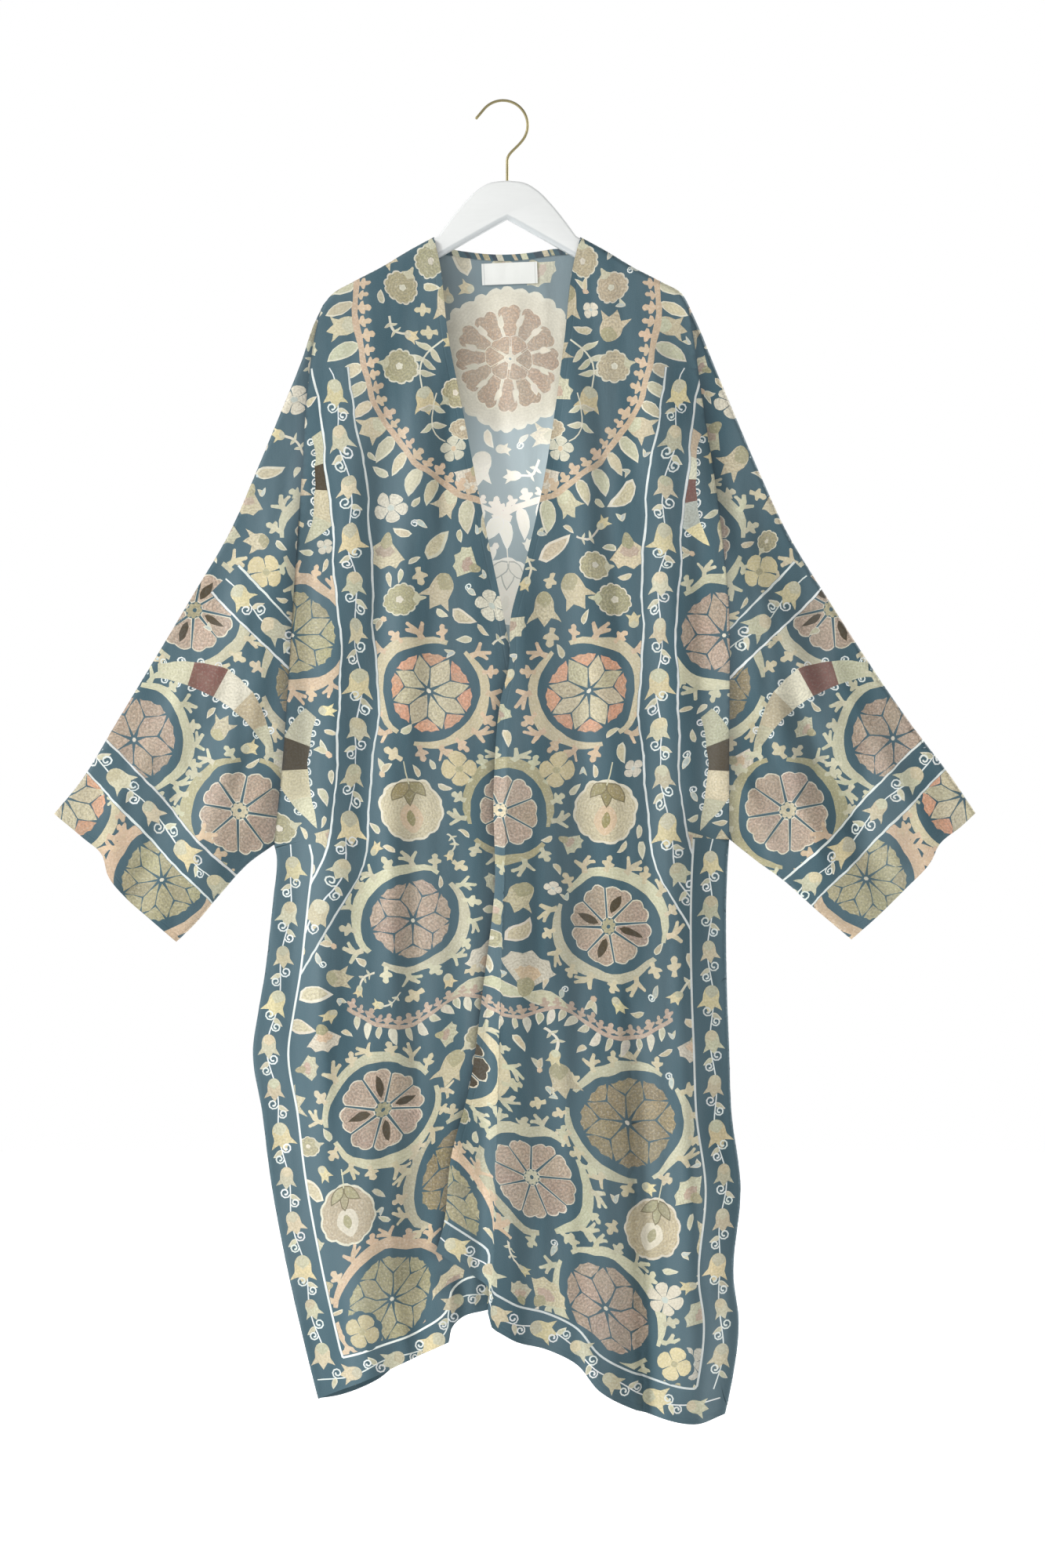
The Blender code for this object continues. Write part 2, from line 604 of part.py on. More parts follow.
def wood_outline():
    """Right half of the hanger's outline, from the top middle round to the apex underneath."""
    hump = smooth_curve(HUMP, np.linspace(0, 1, HUMP_POINTS))
    arm_rows = [Arm(arm.out, arm.drop + WOOD_BELOW_CLOTH) for arm in ARM_LINE]
    arm = smooth_curve(arm_rows, np.linspace(ARM_START, 1, ARM_POINTS))
    arm = arm[arm[:, 0] < (ARM_HALF_SPAN - ARM_TIP) * MM]
    low_out = (ARM_HALF_SPAN - ARM_TIP / 2) * MM
    low = np.array([low_out, APEX_DROP * MM + UNDERSIDE_SLOPE * low_out])
    beyond = np.array([(ARM_HALF_SPAN + ARM_TIP / 3) * MM, (arm[-1][1] + low[1]) / 2])
    turn = np.linspace(0, 1, TIP_POINTS + 1)[1:, None]
    tip = (1 - turn) ** 2 * arm[-1] + 2 * turn * (1 - turn) * beyond + turn**2 * low
    apex = np.array([[0.0, APEX_DROP * MM]])
    return np.vstack([hump, arm, tip, apex])


def hanger_wood(material):
    """Flat wooden hanger: its outline in rings across the thickness, drawn in at the eased edges."""
    half = wood_outline()
    outline = np.vstack([half, half[-2:0:-1] * [-1, 1]])
    chord = np.roll(outline, -1, axis=0) - np.roll(outline, 1, axis=0)
    inward = np.stack([-chord[:, 1], chord[:, 0]], axis=1)
    inward /= np.linalg.norm(inward, axis=1)[:, None]
    outline[:, 0] += HANGER_CENTRE * MM
    levels = [(-depth, inset) for depth, inset in WOOD_EASING]
    levels += [(depth, inset) for depth, inset in reversed(WOOD_EASING)]
    vertices, count = [], len(outline)
    for depth, inset in levels:
        ring = outline + inward * inset * MM
        vertices += [(x, depth * MM, -drop) for x, drop in ring]
    faces = [tuple(range(count)), tuple(range(len(vertices) - count, len(vertices)))]
    for level in range(len(levels) - 1):
        for i in range(count):
            a, b = level * count + i, level * count + (i + 1) % count
            faces.append((a, b, b + count, a + count))
    return new_object("hanger_wood", vertices, faces, material)


def hook_route():
    """Middle line of the wire, from its tip over the crown and down to the wood."""
    centre = WIRE / 2 - HOOK_RADIUS
    angles = np.radians(np.linspace(HOOK_TIP_ANGLE, HOOK_END_ANGLE, HOOK_POINTS))
    route = [(HOOK_RADIUS * cos(a), centre + HOOK_RADIUS * sin(a)) for a in angles]
    end, last = np.array(route[-1]), angles[-1]
    heading = np.array([sin(last), -cos(last)])
    stem = np.array([HANGER_CENTRE, -STEM_TOP])
    handles = (end, end + HOOK_BEND * heading, stem + [0, STEM_BEND], stem)
    for u in np.linspace(0, 1, STEM_POINTS + 1)[1:]:
        weights = ((1 - u) ** 3, 3 * u * (1 - u) ** 2, 3 * u * u * (1 - u), u**3)
        route.append(tuple(sum(w * h for w, h in zip(weights, handles))))
    route.append((HANGER_CENTRE, -HUMP[0].drop + SEAM_GAP))
    return route


def hanger_hook(material):
    """Brass wire hook."""
    curve = bpy.data.curves.new("hanger_hook", "CURVE")
    curve.dimensions = "3D"
    curve.bevel_depth = WIRE / 2 * MM
    curve.bevel_resolution = 2
    curve.render_resolution_u = 0
    curve.use_fill_caps = True
    route = hook_route()
    line = curve.splines.new("POLY")
    line.points.add(len(route) - 1)
    for point, (x, z) in zip(line.points, route):
        point.co = (x * MM, 0.0, z * MM, 1.0)
    curve.materials.append(material)
    thing = bpy.data.objects.new("hanger_hook", curve)
    bpy.context.collection.objects.link(thing)
    return thing


def main():
    for thing in list(bpy.data.objects):
        bpy.data.objects.remove(thing, do_unlink=True)
    for side in ("left", "right"):
        front(side, new_material(f"front_{side}_print", (0.16, 0.25, 0.31), 0.6))
        sleeve(side, new_material(f"sleeve_{side}_print", (0.19, 0.28, 0.33), 0.6))
    back(new_material("back_print", (0.24, 0.33, 0.38), 0.6))
    neck_strip(new_material("neck_strip_print", (0.20, 0.26, 0.29), 0.6))
    neck_label(new_material("label_weave", (0.88, 0.88, 0.86), 0.7))
    hanger_wood(new_material("painted_wood", (0.86, 0.87, 0.86), 0.45))
    hanger_hook(new_material("brass", (0.72, 0.57, 0.30), 0.3, 1.0))


main()
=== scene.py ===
"""Printed crepe kimono on a painted wooden hanger, dressed over its CAD solids.

Metres, +Z up, front towards -Y. Tables and the print are in millimetres, seen from the front: 'across'
is +X from the hang point and 'drop' is the distance below it. Every cloth piece is cut into triangles
along the outlines of its print, then laid on the surface that the folds give.
"""
from collections import namedtuple
from math import cos, pi, radians, sin, tau

import bmesh
import bpy
import numpy as np
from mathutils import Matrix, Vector
from mathutils.geometry import delaunay_2d_cdt


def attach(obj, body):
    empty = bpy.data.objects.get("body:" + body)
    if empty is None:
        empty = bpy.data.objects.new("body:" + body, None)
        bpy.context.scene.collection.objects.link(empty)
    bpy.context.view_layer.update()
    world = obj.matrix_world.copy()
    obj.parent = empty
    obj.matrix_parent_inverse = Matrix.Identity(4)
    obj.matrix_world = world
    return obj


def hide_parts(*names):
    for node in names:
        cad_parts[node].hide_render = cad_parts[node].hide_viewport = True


bl_info = {
    "name": "Printed kimono on a hanger",
    "version": (1, 0, 0),
    "blender": (4, 5, 0),
    "location": "3D View > Sidebar > Kimono",
    "description": "Builds a long open-front kimono in printed crepe on a painted wooden hanger",
    "category": "Object",
}

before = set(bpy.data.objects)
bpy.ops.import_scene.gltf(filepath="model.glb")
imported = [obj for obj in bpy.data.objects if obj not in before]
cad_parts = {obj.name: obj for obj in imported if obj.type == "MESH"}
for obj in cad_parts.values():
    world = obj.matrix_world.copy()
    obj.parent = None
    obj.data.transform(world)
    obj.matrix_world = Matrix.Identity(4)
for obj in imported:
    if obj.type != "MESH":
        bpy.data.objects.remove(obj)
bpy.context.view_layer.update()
MM = 0.001

# Form of the cloth, millimetres
SHOULDER_HALF = 8.5
EDGE_HALF = 4.5
CUFF_HALF = 9.0
FOLD_RADIUS = 6.0
CROWN_REACH = 70.0
BACK_SHARE = 0.8
OVERLAP_LIFT = 6.0
SHOULDER_ENDS, SLEEVE_BEGINS = 245.0, 325.0
CUFF_ROOM_REACH = 160.0
BACK_SHARE_FROM, BACK_SHARE_TO = 200.0, 400.0
FOLD_EDGE = 35.0
OVERLAP_FROM, OVERLAP_TO = 500.0, 590.0
OVERLAP_FLAT, OVERLAP_RUN = 12.0, 60.0
EDGE_FULLNESS = 2.5
FOLD_GROWTH = 0.35
SEAM_CATCH = 0.05
DRAPE_WANDER, DRAPE_FADE, DRAPE_END = 4, 0.3, 1.15
VINE_START = 14.0
HANGER_CENTRE = 4.8
SIGN = {"left": -1, "right": 1}
CHUNK = 12

# Outlines as rows of across and drop. The hanger's are measured out from its middle
ARM_LINE = ((81.5, 150.5), (109.6, 165.8), (137.5, 182.7), (171.8, 200.6), (194, 213.6))
HUMP = ((0, 87.9), (20.5, 90.8), (35, 99.8), (48.7, 113.6), (63, 131), (76.5, 149.4))
ARMHOLE = {
    "left": (
        (-199.7, 226.2), (-208.4, 261), (-215.3, 308), (-222.3, 414.1), (-230.1, 530.7), (-238.8, 667.3),
        (-243.2, 730.8), (-253.6, 823.9),
    ),
    "right": (
        (204, 221.8), (211, 261), (221.4, 334.1), (239.7, 457.6), (250.1, 563.8), (250.6, 667.3),
        (250.1, 739.5), (251, 817.8),
    ),
}
SLEEVE_TOP = {
    "left": (
        (-199.7, 226.2), (-210.1, 248.8), (-222.3, 285.4), (-244, 339.3), (-272.7, 408.9), (-303.2, 478.5),
        (-344.1, 548.1), (-427.6, 687.3), (-470.2, 756.9), (-497.6, 790),
    ),
    "right": (
        (204, 221.8), (217.9, 252.3), (231.9, 287.1), (253.6, 339.3), (283.2, 408.9), (315.4, 478.5),
        (358, 548.1), (450.2, 687.3), (502.4, 756.9), (524.2, 789.1),
    ),
}
SLEEVE_UNDER = {
    "left": ((-253.6, 823.9), (-281.4, 843.9), (-313.6, 878.7), (-343.2, 913.5), (-362.4, 931.8)),
    "right": ((251, 817.8), (284.1, 843.9), (308.4, 861.3), (347.6, 896.1), (386.7, 929.2)),
}
CUFF = {
    "left": (
        (-497.6, 790), (-465, 816.9), (-444.1, 835.2), (-437.2, 858.7), (-418.9, 882.2), (-390.2, 907.4),
        (-362.4, 931.8),
    ),
    "right": (
        (524.2, 789.1), (509.4, 803), (482, 826), (475.5, 840.4), (446.7, 872.6), (423.3, 896.1),
        (386.7, 929.2),
    ),
}
SIDE_SEAM = {
    "left": (
        (-253.6, 823.9), (-250.5, 838), (-251, 855), (-254, 880), (-258.5, 922), (-263.6, 965.7),
        (-271, 1009), (-277.1, 1052.7), (-266.7, 1122.3), (-258, 1191.9), (-242.3, 1278.9),
        (-218.8, 1383.3), (-204.9, 1439),
    ),
    "right": (
        (251, 817.8), (249.3, 843.9), (248.4, 983.1), (251, 1052.7), (253.6, 1122.3), (263.5, 1200),
        (256.2, 1309.3), (261.4, 1348.5), (254.5, 1418.1), (246.6, 1455.5),
    ),
}
FRONT_EDGE = {
    "left": (
        (-76.7, 150.5), (-70.9, 174.9), (-60.5, 261), (-46.5, 332.3), (-26.5, 436.7), (-10.9, 513.3),
        (2.2, 576.8), (10.9, 626.4), (23.1, 800.4), (40.5, 991.8), (56.1, 1191.9), (64.8, 1313.7),
    ),
    "right": (
        (86.3, 150.5), (79.6, 174.9), (68.3, 263.6), (57.9, 342.8), (42.7, 435), (24.8, 513.3),
        (8.3, 576.8), (6.5, 628.1), (-1.3, 659.5), (-10, 756.9), (-10, 870.9), (-23.1, 991.8),
        (-36.1, 1087.5), (-57, 1169.3), (-66.6, 1249.3), (-73.5, 1271.9),
    ),
}
HEM = {
    "front_left": (
        (64.8, 1313.7), (16.1, 1326.8), (-17.8, 1337.2), (-43.9, 1344.2), (-55.2, 1353.7), (-60.5, 1374.6),
        (-90.9, 1399), (-137, 1416.4), (-171, 1428.5), (-204.9, 1439),
    ),
    "front_right": (
        (-73.5, 1271.9), (-53.5, 1285), (-36.1, 1296.3), (-19.5, 1309), (-17, 1345), (-6, 1356.5),
        (13, 1369), (48.3, 1379), (82.2, 1396.3), (106.6, 1425.1), (130.9, 1439.8), (168.3, 1454.6),
        (217.1, 1463.3), (246.6, 1455.5),
    ),
    "back": (
        (-204.9, 1439), (-171, 1435.5), (-138.8, 1421), (-105.7, 1388), (-70.9, 1350), (-36.1, 1322),
        (-1.3, 1316), (50.9, 1342), (103.1, 1392), (155.3, 1435.5), (207.5, 1452.9), (246.6, 1455.5),
    ),
}
BACK_NECK = (
    (-76.7, 150.5), (-69, 159.6), (-51.8, 163.6), (-27.4, 167), (0, 168.5), (26.5, 166.8), (53.5, 162.6),
    (79, 158.3), (86.3, 150.5),
)
# Half of the room between the sheets, by drop
ROOM = ((150, 8.5), (300, 11), (500, 15), (820, 20), (1150, 24), (1460, 28))

# Folds: across and drop of their top and foot, how far they stand out (trough if negative), the width of
# the left and right flank, and how far the steeper flank tucks under. Main folds first, finer drape after
FOLDS = {
    "front_left": (
        (-57, 1290, -60, 1392, 9, 42, 9), (-170, 980, -150, 1430, 6, 26, 34),
        (-228, 900, -215, 1400, -5, 14, 22), (-90, 260, -110, 640, 4, 18, 26),
        (-160, 240, -190, 760, 4, 20, 30),
    ),
    "front_right": (
        (8, 640, -14, 1390, 13, 8, 62, 7), (138, 930, 158, 1460, -12, 7, 24),
        (108, 900, 120, 1460, 8, 30, 22), (205, 1120, 222, 1470, 7, 24, 26), (70, 220, 105, 640, 4, 18, 26),
        (165, 240, 190, 760, 4, 20, 30),
    ),
    "back": (
        (-150, 900, -165, 1450, 9, 30, 26), (-60, 760, -75, 1450, 8, 34, 30),
        (35, 820, 30, 1450, 10, 30, 36), (130, 760, 150, 1460, 9, 26, 32),
        (-120, 240, -140, 700, 4, 26, 26), (120, 240, 140, 700, 4, 26, 26),
    ),
    "sleeve_left": (
        (-236, 420, -330, 840, 5, 18, 26), (-262, 560, -400, 860, -4, 16, 20),
        (-250, 740, -300, 850, 5, 14, 12),
    ),
    "sleeve_right": (
        (252, 430, 345, 850, 5, 26, 18), (280, 580, 420, 860, -4, 20, 16), (258, 740, 305, 850, 5, 12, 14),
    ),
}
DRAPE = {
    "front_left": (
        (-40, 620, -20, 1250, 1.6, 12, 16), (-95, 700, -88, 1400, -1.8, 14, 10),
        (-130, 560, -118, 1380, 1.5, 9, 14), (-205, 880, -190, 1420, 1.6, 10, 8),
        (-60, 200, -62, 470, -1, 8, 10), (-120, 230, -140, 600, -1.2, 10, 9),
        (-200, 330, -236, 1000, -1.4, 12, 10), (-245, 900, -262, 1060, 1.6, 12, 8),
        (-30, 1230, -36, 1340, 1.4, 8, 8), (-112, 1310, -108, 1420, 1.6, 9, 7),
    ),
    "front_right": (
        (40, 640, 30, 1300, -1.8, 12, 14), (75, 720, 70, 1400, 1.5, 12, 10),
        (180, 840, 188, 1450, -2, 9, 12), (228, 860, 240, 1450, 1.4, 9, 8),
        (100, 220, 128, 600, -1.1, 9, 10), (210, 330, 226, 980, -1.6, 10, 12),
        (150, 560, 150, 900, 1.3, 12, 10), (-40, 900, -52, 1280, 1.6, 10, 12),
        (94, 1330, 100, 1420, 1.5, 9, 8), (236, 1300, 244, 1380, 2.2, 14, 10),
    ),
    "back": (
        (-10, 240, -14, 900, 1.6, 18, 14), (60, 260, 78, 820, -1.5, 12, 14),
        (-85, 420, -110, 1380, -2, 14, 12), (90, 700, 96, 1420, -2.2, 12, 14),
        (-215, 780, -205, 1420, 1.8, 12, 12), (200, 620, 214, 1450, 1.9, 12, 14),
        (-20, 900, -22, 1350, -2, 12, 10), (180, 260, 205, 620, -1.4, 12, 12),
        (-180, 260, -205, 640, -1.3, 12, 12),
    ),
    "sleeve_left": (
        (-228, 350, -290, 700, -1.8, 9, 12), (-270, 470, -350, 780, 1.8, 12, 12),
        (-300, 560, -440, 800, 1.6, 12, 9), (-248, 640, -355, 900, -1.5, 8, 10),
        (-340, 800, -420, 850, 1.2, 10, 10),
    ),
    "sleeve_right": (
        (240, 350, 300, 700, -1.8, 12, 9), (290, 480, 372, 790, 1.8, 12, 12),
        (330, 580, 470, 800, 1.6, 9, 12), (262, 640, 372, 900, -1.5, 10, 8),
        (360, 800, 450, 850, 1.2, 10, 10),
    ),
}
# Waves across, waves down, height and phase
RIPPLES = (
    (61, 640, 0.36, 0.4), (-43, 420, 0.24, 1.9), (29, 310, 0.15, 3.1), (-97, 260, 0.3, 5.2),
    (17, -190, 0.05, 0.9),
)


def as_complex(flat):
    """Flat points as complex numbers, across + drop * 1j."""
    return flat[:, 0] + 1j * flat[:, 1]


def as_flat(z):
    """Complex numbers as flat points."""
    return np.stack([z.real, z.imag], axis=1)


def sums(values):
    """Running sums, with a 0 before them."""
    return np.concatenate([[0], np.cumsum(values)])


def smooth_curve(rows, count, low=0, high=1):
    """Evenly spread points between two shares of a smooth curve through the rows."""
    points = np.array(rows, float)
    knots = sums(np.linalg.norm(np.diff(points, axis=0), axis=1))
    spans = np.diff(knots)[:, None]
    slopes = np.diff(points, axis=0) / spans
    inner = (slopes[:-1] * spans[1:] + slopes[1:] * spans[:-1]) / (spans[:-1] + spans[1:])
    tangents = np.vstack([slopes[:1], inner, slopes[-1:]])
    where = np.linspace(low, high, count) * knots[-1]
    index = np.clip(np.searchsorted(knots, where, side="right") - 1, 0, len(knots) - 2)
    step = spans[index]
    u = (where - knots[index])[:, None] / step
    return (
        points[index] * (2 * u**3 - 3 * u**2 + 1) + tangents[index] * step * (u**3 - 2 * u**2 + u)
        + points[index + 1] * (3 * u**2 - 2 * u**3) + tangents[index + 1] * step * (u**3 - u**2)
    )


def even_curve(rows, pitch):
    """Points along the smooth curve through the rows, about the pitch apart."""
    line = smooth_curve(rows, 400)
    run = sums(np.linalg.norm(np.diff(line, axis=0), axis=1))
    at = np.linspace(0, run[-1], max(int(round(run[-1] / pitch)), 2) + 1)
    return np.stack([np.interp(at, run, part) for part in line.T], axis=1)


def curve_path(rows, pitch=8.0):
    """Points along the smooth curve through the rows, as complex numbers."""
    return as_complex(even_curve(rows, pitch))


def ease(x):
    """0 below 0, 1 above 1, smooth between."""
    x = np.clip(x, 0.0, 1.0)
    return x * x * (3 - 2 * x)


def shoulder_rows(side):
    """Shoulder line from the neck point to the sleeve head."""
    return [(HANGER_CENTRE + SIGN[side] * out, drop) for out, drop in ARM_LINE] + [SLEEVE_TOP[side][0]]


def closed_edges():
    """The lines along which the front and back sheets close: shoulders, sleeve folds and seams."""
    return [smooth_curve(rows, 60) for side in SIGN
            for rows in (shoulder_rows(side), SLEEVE_TOP[side], SLEEVE_UNDER[side], SIDE_SEAM[side])]


def distance_to(flat, lines, reach=80.0):
    """Distance of flat points from the nearest of the lines, up to the reach."""
    points = as_complex(flat)
    nearest = np.full(len(flat), reach)
    for line in lines:
        path = as_complex(line)
        for part in range(0, len(line) - 1, CHUNK):
            near = line[part:part + CHUNK + 1]
            close = np.flatnonzero(((flat > near.min(0) - reach) & (flat < near.max(0) + reach)).all(1))
            best = nearest[close]
            for a, b in zip(path[part:part + CHUNK], np.diff(path[part:part + CHUNK + 1])):
                offset = (points[close] - a) / b
                away = offset - np.clip(offset.real, 0.0, 1.0)
                best = np.minimum(best, np.abs(away) * abs(b))
            nearest[close] = best
    return np.maximum(nearest - SEAM_CATCH, 0)


def beyond_armhole(flat):
    """How far flat points lie outside the body's armholes and side seams."""
    reach = np.full(len(flat), -np.inf)
    for side, sign in SIGN.items():
        line = np.vstack([smooth_curve(ARMHOLE[side], 40), smooth_curve(SIDE_SEAM[side], 40)[1:]])
        reach = np.maximum(reach, sign * (flat[:, 0] - np.interp(flat[:, 1], line[:, 1], line[:, 0])))
    return reach


def half_room(flat, distance):
    """Half of the room between the sheets at flat points, rounded over at the closed edges."""
    room = np.interp(flat[:, 1], *np.transpose(ROOM))
    room = room + (CUFF_HALF - room) * ease(beyond_armhole(flat) / CUFF_ROOM_REACH)
    below = ease((flat[:, 1] - SHOULDER_ENDS) / (SLEEVE_BEGINS - SHOULDER_ENDS))
    edge = SHOULDER_HALF + (EDGE_HALF - SHOULDER_HALF) * below
    rounding = np.clip(distance / FOLD_RADIUS, 0.0, 1.0)
    rim = (1 - (1 - rounding) ** EDGE_FULLNESS) ** (1 / EDGE_FULLNESS)
    return rim * (edge + (np.maximum(room, edge) - edge) * ease(distance / CROWN_REACH))


def beside_fold(flat, fold):
    """How far along a fold flat points lie, as a share of its length, and how far beside it."""
    top = np.array(fold[:2])
    run = np.array(fold[2:4]) - top
    length = np.linalg.norm(run)
    offset = flat - top
    return offset @ run / length**2, (offset[:, 0] * run[1] - offset[:, 1] * run[0]) / length


def fold_shape(flat, folds):
    """Height of the folds at flat points, and how far they shift sideways."""
    rise, shift = np.zeros(len(flat)), np.zeros(len(flat))
    for fold in folds:
        along_it, beside = beside_fold(flat, fold)
        height, left, right, *tucks = fold[4:]
        growth = ease(along_it / FOLD_GROWTH)
        rise += height * growth * np.exp(-((beside / np.where(beside < 0, left, right)) ** 2))
        steep = beside / min(left, right)
        for tuck in tucks:
            shift -= tuck * growth * steep * np.exp(-(steep**2))
    return rise, shift


def drape_height(flat, folds):
    """Height of the finer drape, which fades at both ends of each fold, and of the faint ripples."""
    rise = np.zeros(len(flat))
    for fold in folds:
        along_it, beside = beside_fold(flat, fold)
        height, left, right = fold[4:]
        beside = beside + DRAPE_WANDER * np.sin(along_it * 5 + fold[0])
        fade = ease(along_it / DRAPE_FADE) * ease((DRAPE_END - along_it) / DRAPE_FADE)
        rise += height * fade * np.exp(-((beside / np.where(beside < 0, left, right)) ** 2))
    for wave_across, wave_down, height, phase in RIPPLES:
        rise += height * np.sin(tau * (flat[:, 0] / wave_across + flat[:, 1] / wave_down) + phase)
    return rise


def overlap_lift(flat):
    """How far the right front stands off where it lies over the left one."""
    under = smooth_curve(FRONT_EDGE["left"], 60)
    edge = np.interp(flat[:, 1], under[:, 1], under[:, 0])
    beyond = ease((flat[:, 0] - edge - OVERLAP_FLAT) / OVERLAP_RUN)
    return OVERLAP_LIFT * ease((flat[:, 1] - OVERLAP_FROM) / (OVERLAP_TO - OVERLAP_FROM)) * (1 - beyond)


def place(flat, piece, facing, lines):
    """Middle surface of a piece over flat points, in metres: facing is -1 in front and 1 behind."""
    distance = distance_to(flat, lines)
    within = ease(distance / FOLD_EDGE)
    rise, shift = fold_shape(flat, FOLDS[piece])
    rise = rise * within + drape_height(flat, DRAPE[piece]) * ease(distance / (FOLD_EDGE / 2))
    share = 1.0
    if facing > 0:
        below = ease((flat[:, 1] - BACK_SHARE_FROM) / (BACK_SHARE_TO - BACK_SHARE_FROM))
        share = 1 + (BACK_SHARE - 1) * below
    depth = half_room(flat, distance) * share + rise
    if piece == "front_right":
        depth += overlap_lift(flat)
    return np.stack([flat[:, 0] + shift * within, facing * depth, -flat[:, 1]], axis=1) * MM


# The print. Outlines are complex numbers, across + drop * 1j in millimetres; a motif is a list of
# shapes, later ones on top. 'lines' is how strongly the stitch lines that echo an outline show
Shape = namedtuple("Shape", "outline colour lines centre axis ratio")


def shape(outline, colour, lines=0.0, centre=0j, axis=1, ratio=1):
    """One filled outline; its stitch lines are rings about the centre, of this width to length."""
    return Shape(np.asarray(outline, complex), colour, lines, centre, axis, ratio)


def stamped(shapes, where, turn=0.0, scale=1.0, flip=False):
    """The shapes turned by so many degrees, scaled and moved; flip mirrors them first."""
    spin = np.exp(1j * radians(turn))
    mirror = np.conj if flip else np.asarray
    return [s._replace(outline=where + scale * spin * mirror(s.outline),
                       centre=where + scale * spin * mirror(s.centre), axis=spin * mirror(s.axis))
            for s in shapes]


def sideways(path):
    """Unit vectors square to a path of points."""
    way = np.gradient(path)
    return 1j * way / np.abs(way)


def stroke(path, width):
    """Outline of a line drawn along the path; the width may differ from point to point."""
    half = sideways(path) * np.asarray(width) / 2
    return np.concatenate([path + half, (path - half)[::-1]])


def mirrored(rows, size):
    """Soft closed outline, given one side of it as (along, half width) rows, times the size."""
    side = np.array([complex(*row) for row in rows])
    p = np.concatenate([side, np.conj(side[side.imag > 0][::-1])])
    u = np.array([[0, 0.5]])
    a, b, c, d = (np.roll(p, shift)[:, None] for shift in (1, 0, -1, -2))
    curve = 0.5 * (2 * b + (c - a) * u + (2 * a - 5 * b + 4 * c - d) * u**2 + (3 * b - a - 3 * c + d) * u**3)
    return curve.ravel() * size


def turn_points(count, start=0.0):
    """Unit vectors spread over a full turn."""
    return np.exp(1j * (start + tau * np.arange(count) / count))


def heading(z):
    """Direction of a complex number in degrees."""
    return np.degrees(np.angle(z))


def blade(length, width, bend):
    """Pointed leaf from the origin, bent towards one side."""
    t = np.linspace(0, 1, 7)
    middle = length * t + 1j * bend * length * t**2
    half = sideways(middle) * width / 2 * np.sin(pi * t**0.8) ** 0.75
    return np.concatenate([middle + half, (middle - half)[1:-1][::-1]])


def leaf(length, width, bend, colour="leaf", edge="leaf_edge", lines=0.4):
    """Leaf with a paler stitched edge."""
    rim = min(1.2, width * 0.12)
    inner = rim * 1.6 + blade(length - rim * 3.4, width - rim * 2, bend * 0.95)
    centre = length * 0.45 + 0.22j * bend * length
    return [shape(blade(length, width, bend), edge),
            shape(inner, colour, lines, centre, 1 + 0.9j * bend, width / length)]


def curl(size, width=1.7):
    """Spiral tendril that starts along +across."""
    a = np.linspace(0, 1.3 * tau, 12)
    path = size * (1 - 0.72 * a / a[-1]) * np.exp(1j * (a - pi / 2))
    taper = np.concatenate([np.linspace(0.8, 1, 3), np.ones(6), [1.1, 1.35, 0.9]])
    return [shape(stroke(path - path[0], width * taper), "line")]


def trefoil(size, colour):
    """Three-lobed tip on a short neck, as on the branches round a roundel."""
    rows = ((-0.04, 0.17), (0.26, 0.13), (0.40, 0.38), (0.60, 0.43), (0.66, 0.17), (0.90, 0.21), (1.06, 0))
    return [shape(mirrored(rows, size), colour, 0.2, size * 0.5, 1, 0.8)]


def antler(size, colour, hand):
    """Branch with three fingers that lean to one side."""
    parts = []
    for path, widths in (
        ((0.24, 0.50 - 0.20j * hand, 0.70 - 0.42j * hand), (0.20, 0.24, 0.17)),
        ((0.40 + 0.04j * hand, 0.62 + 0.32j * hand, 0.70 + 0.52j * hand), (0.20, 0.22, 0.17)),
        ((0, 0.34, 0.62 + 0.10j * hand, 0.98 + 0.30j * hand), (0.34, 0.28, 0.26, 0.17)),
    ):
        path = np.array(path) * size
        parts.append(shape(stroke(path, np.array(widths) * size), colour, 0.2, size * 0.4, 1, 0.4))
        parts.append(shape(path[-1] + turn_points(6) * widths[-1] * size * 0.62, colour))
    return parts


def scalloped(radius, lobes, depth, steps=4):
    """Round outline with small lobes."""
    a = np.linspace(0, tau, lobes * steps, endpoint=False)
    return radius * (1 - depth + depth * np.abs(np.sin(lobes * a / 2)) ** 0.7) * np.exp(1j * a)


def round_bud(radius, colour, lobes=11, lines=0.75):
    """Round flower head in rings of stitches, with a small leafy cup."""
    cup = mirrored(((-0.30, 0.05), (0.02, 0.16), (0.18, 0.40), (0.34, 0.16), (0.42, 0)), radius)
    return [
        shape(scalloped(radius, lobes, 0.10), "leaf_edge"),
        shape(scalloped(radius * 0.91, lobes, 0.09), colour, lines),
        shape(cup - radius * 1.05, "leaf", 0.4, -radius),
        shape(scalloped(radius * 0.22, 5, 0.2, 3), "cream", 0.3),
    ]


def blossom(size, petals, colour, heart, lines=0.35):
    """Flat flower with cut petals."""
    a = np.linspace(0, tau, petals * 6, endpoint=False)
    edge = size * (0.72 + 0.28 * np.abs(np.cos(petals * a / 2)) ** 0.6) * np.exp(1j * a)
    parts = [shape(edge, colour, lines)]
    for spoke in turn_points(petals, pi / petals):
        slit = stroke(spoke * size * np.linspace(0.25, 0.86, 3), np.array([0.4, 0.9, 2.2]) * size / 20)
        parts.append(shape(slit, "ground"))
    return parts + [shape(scalloped(size * 0.2, petals, 0.15, 3), heart)]


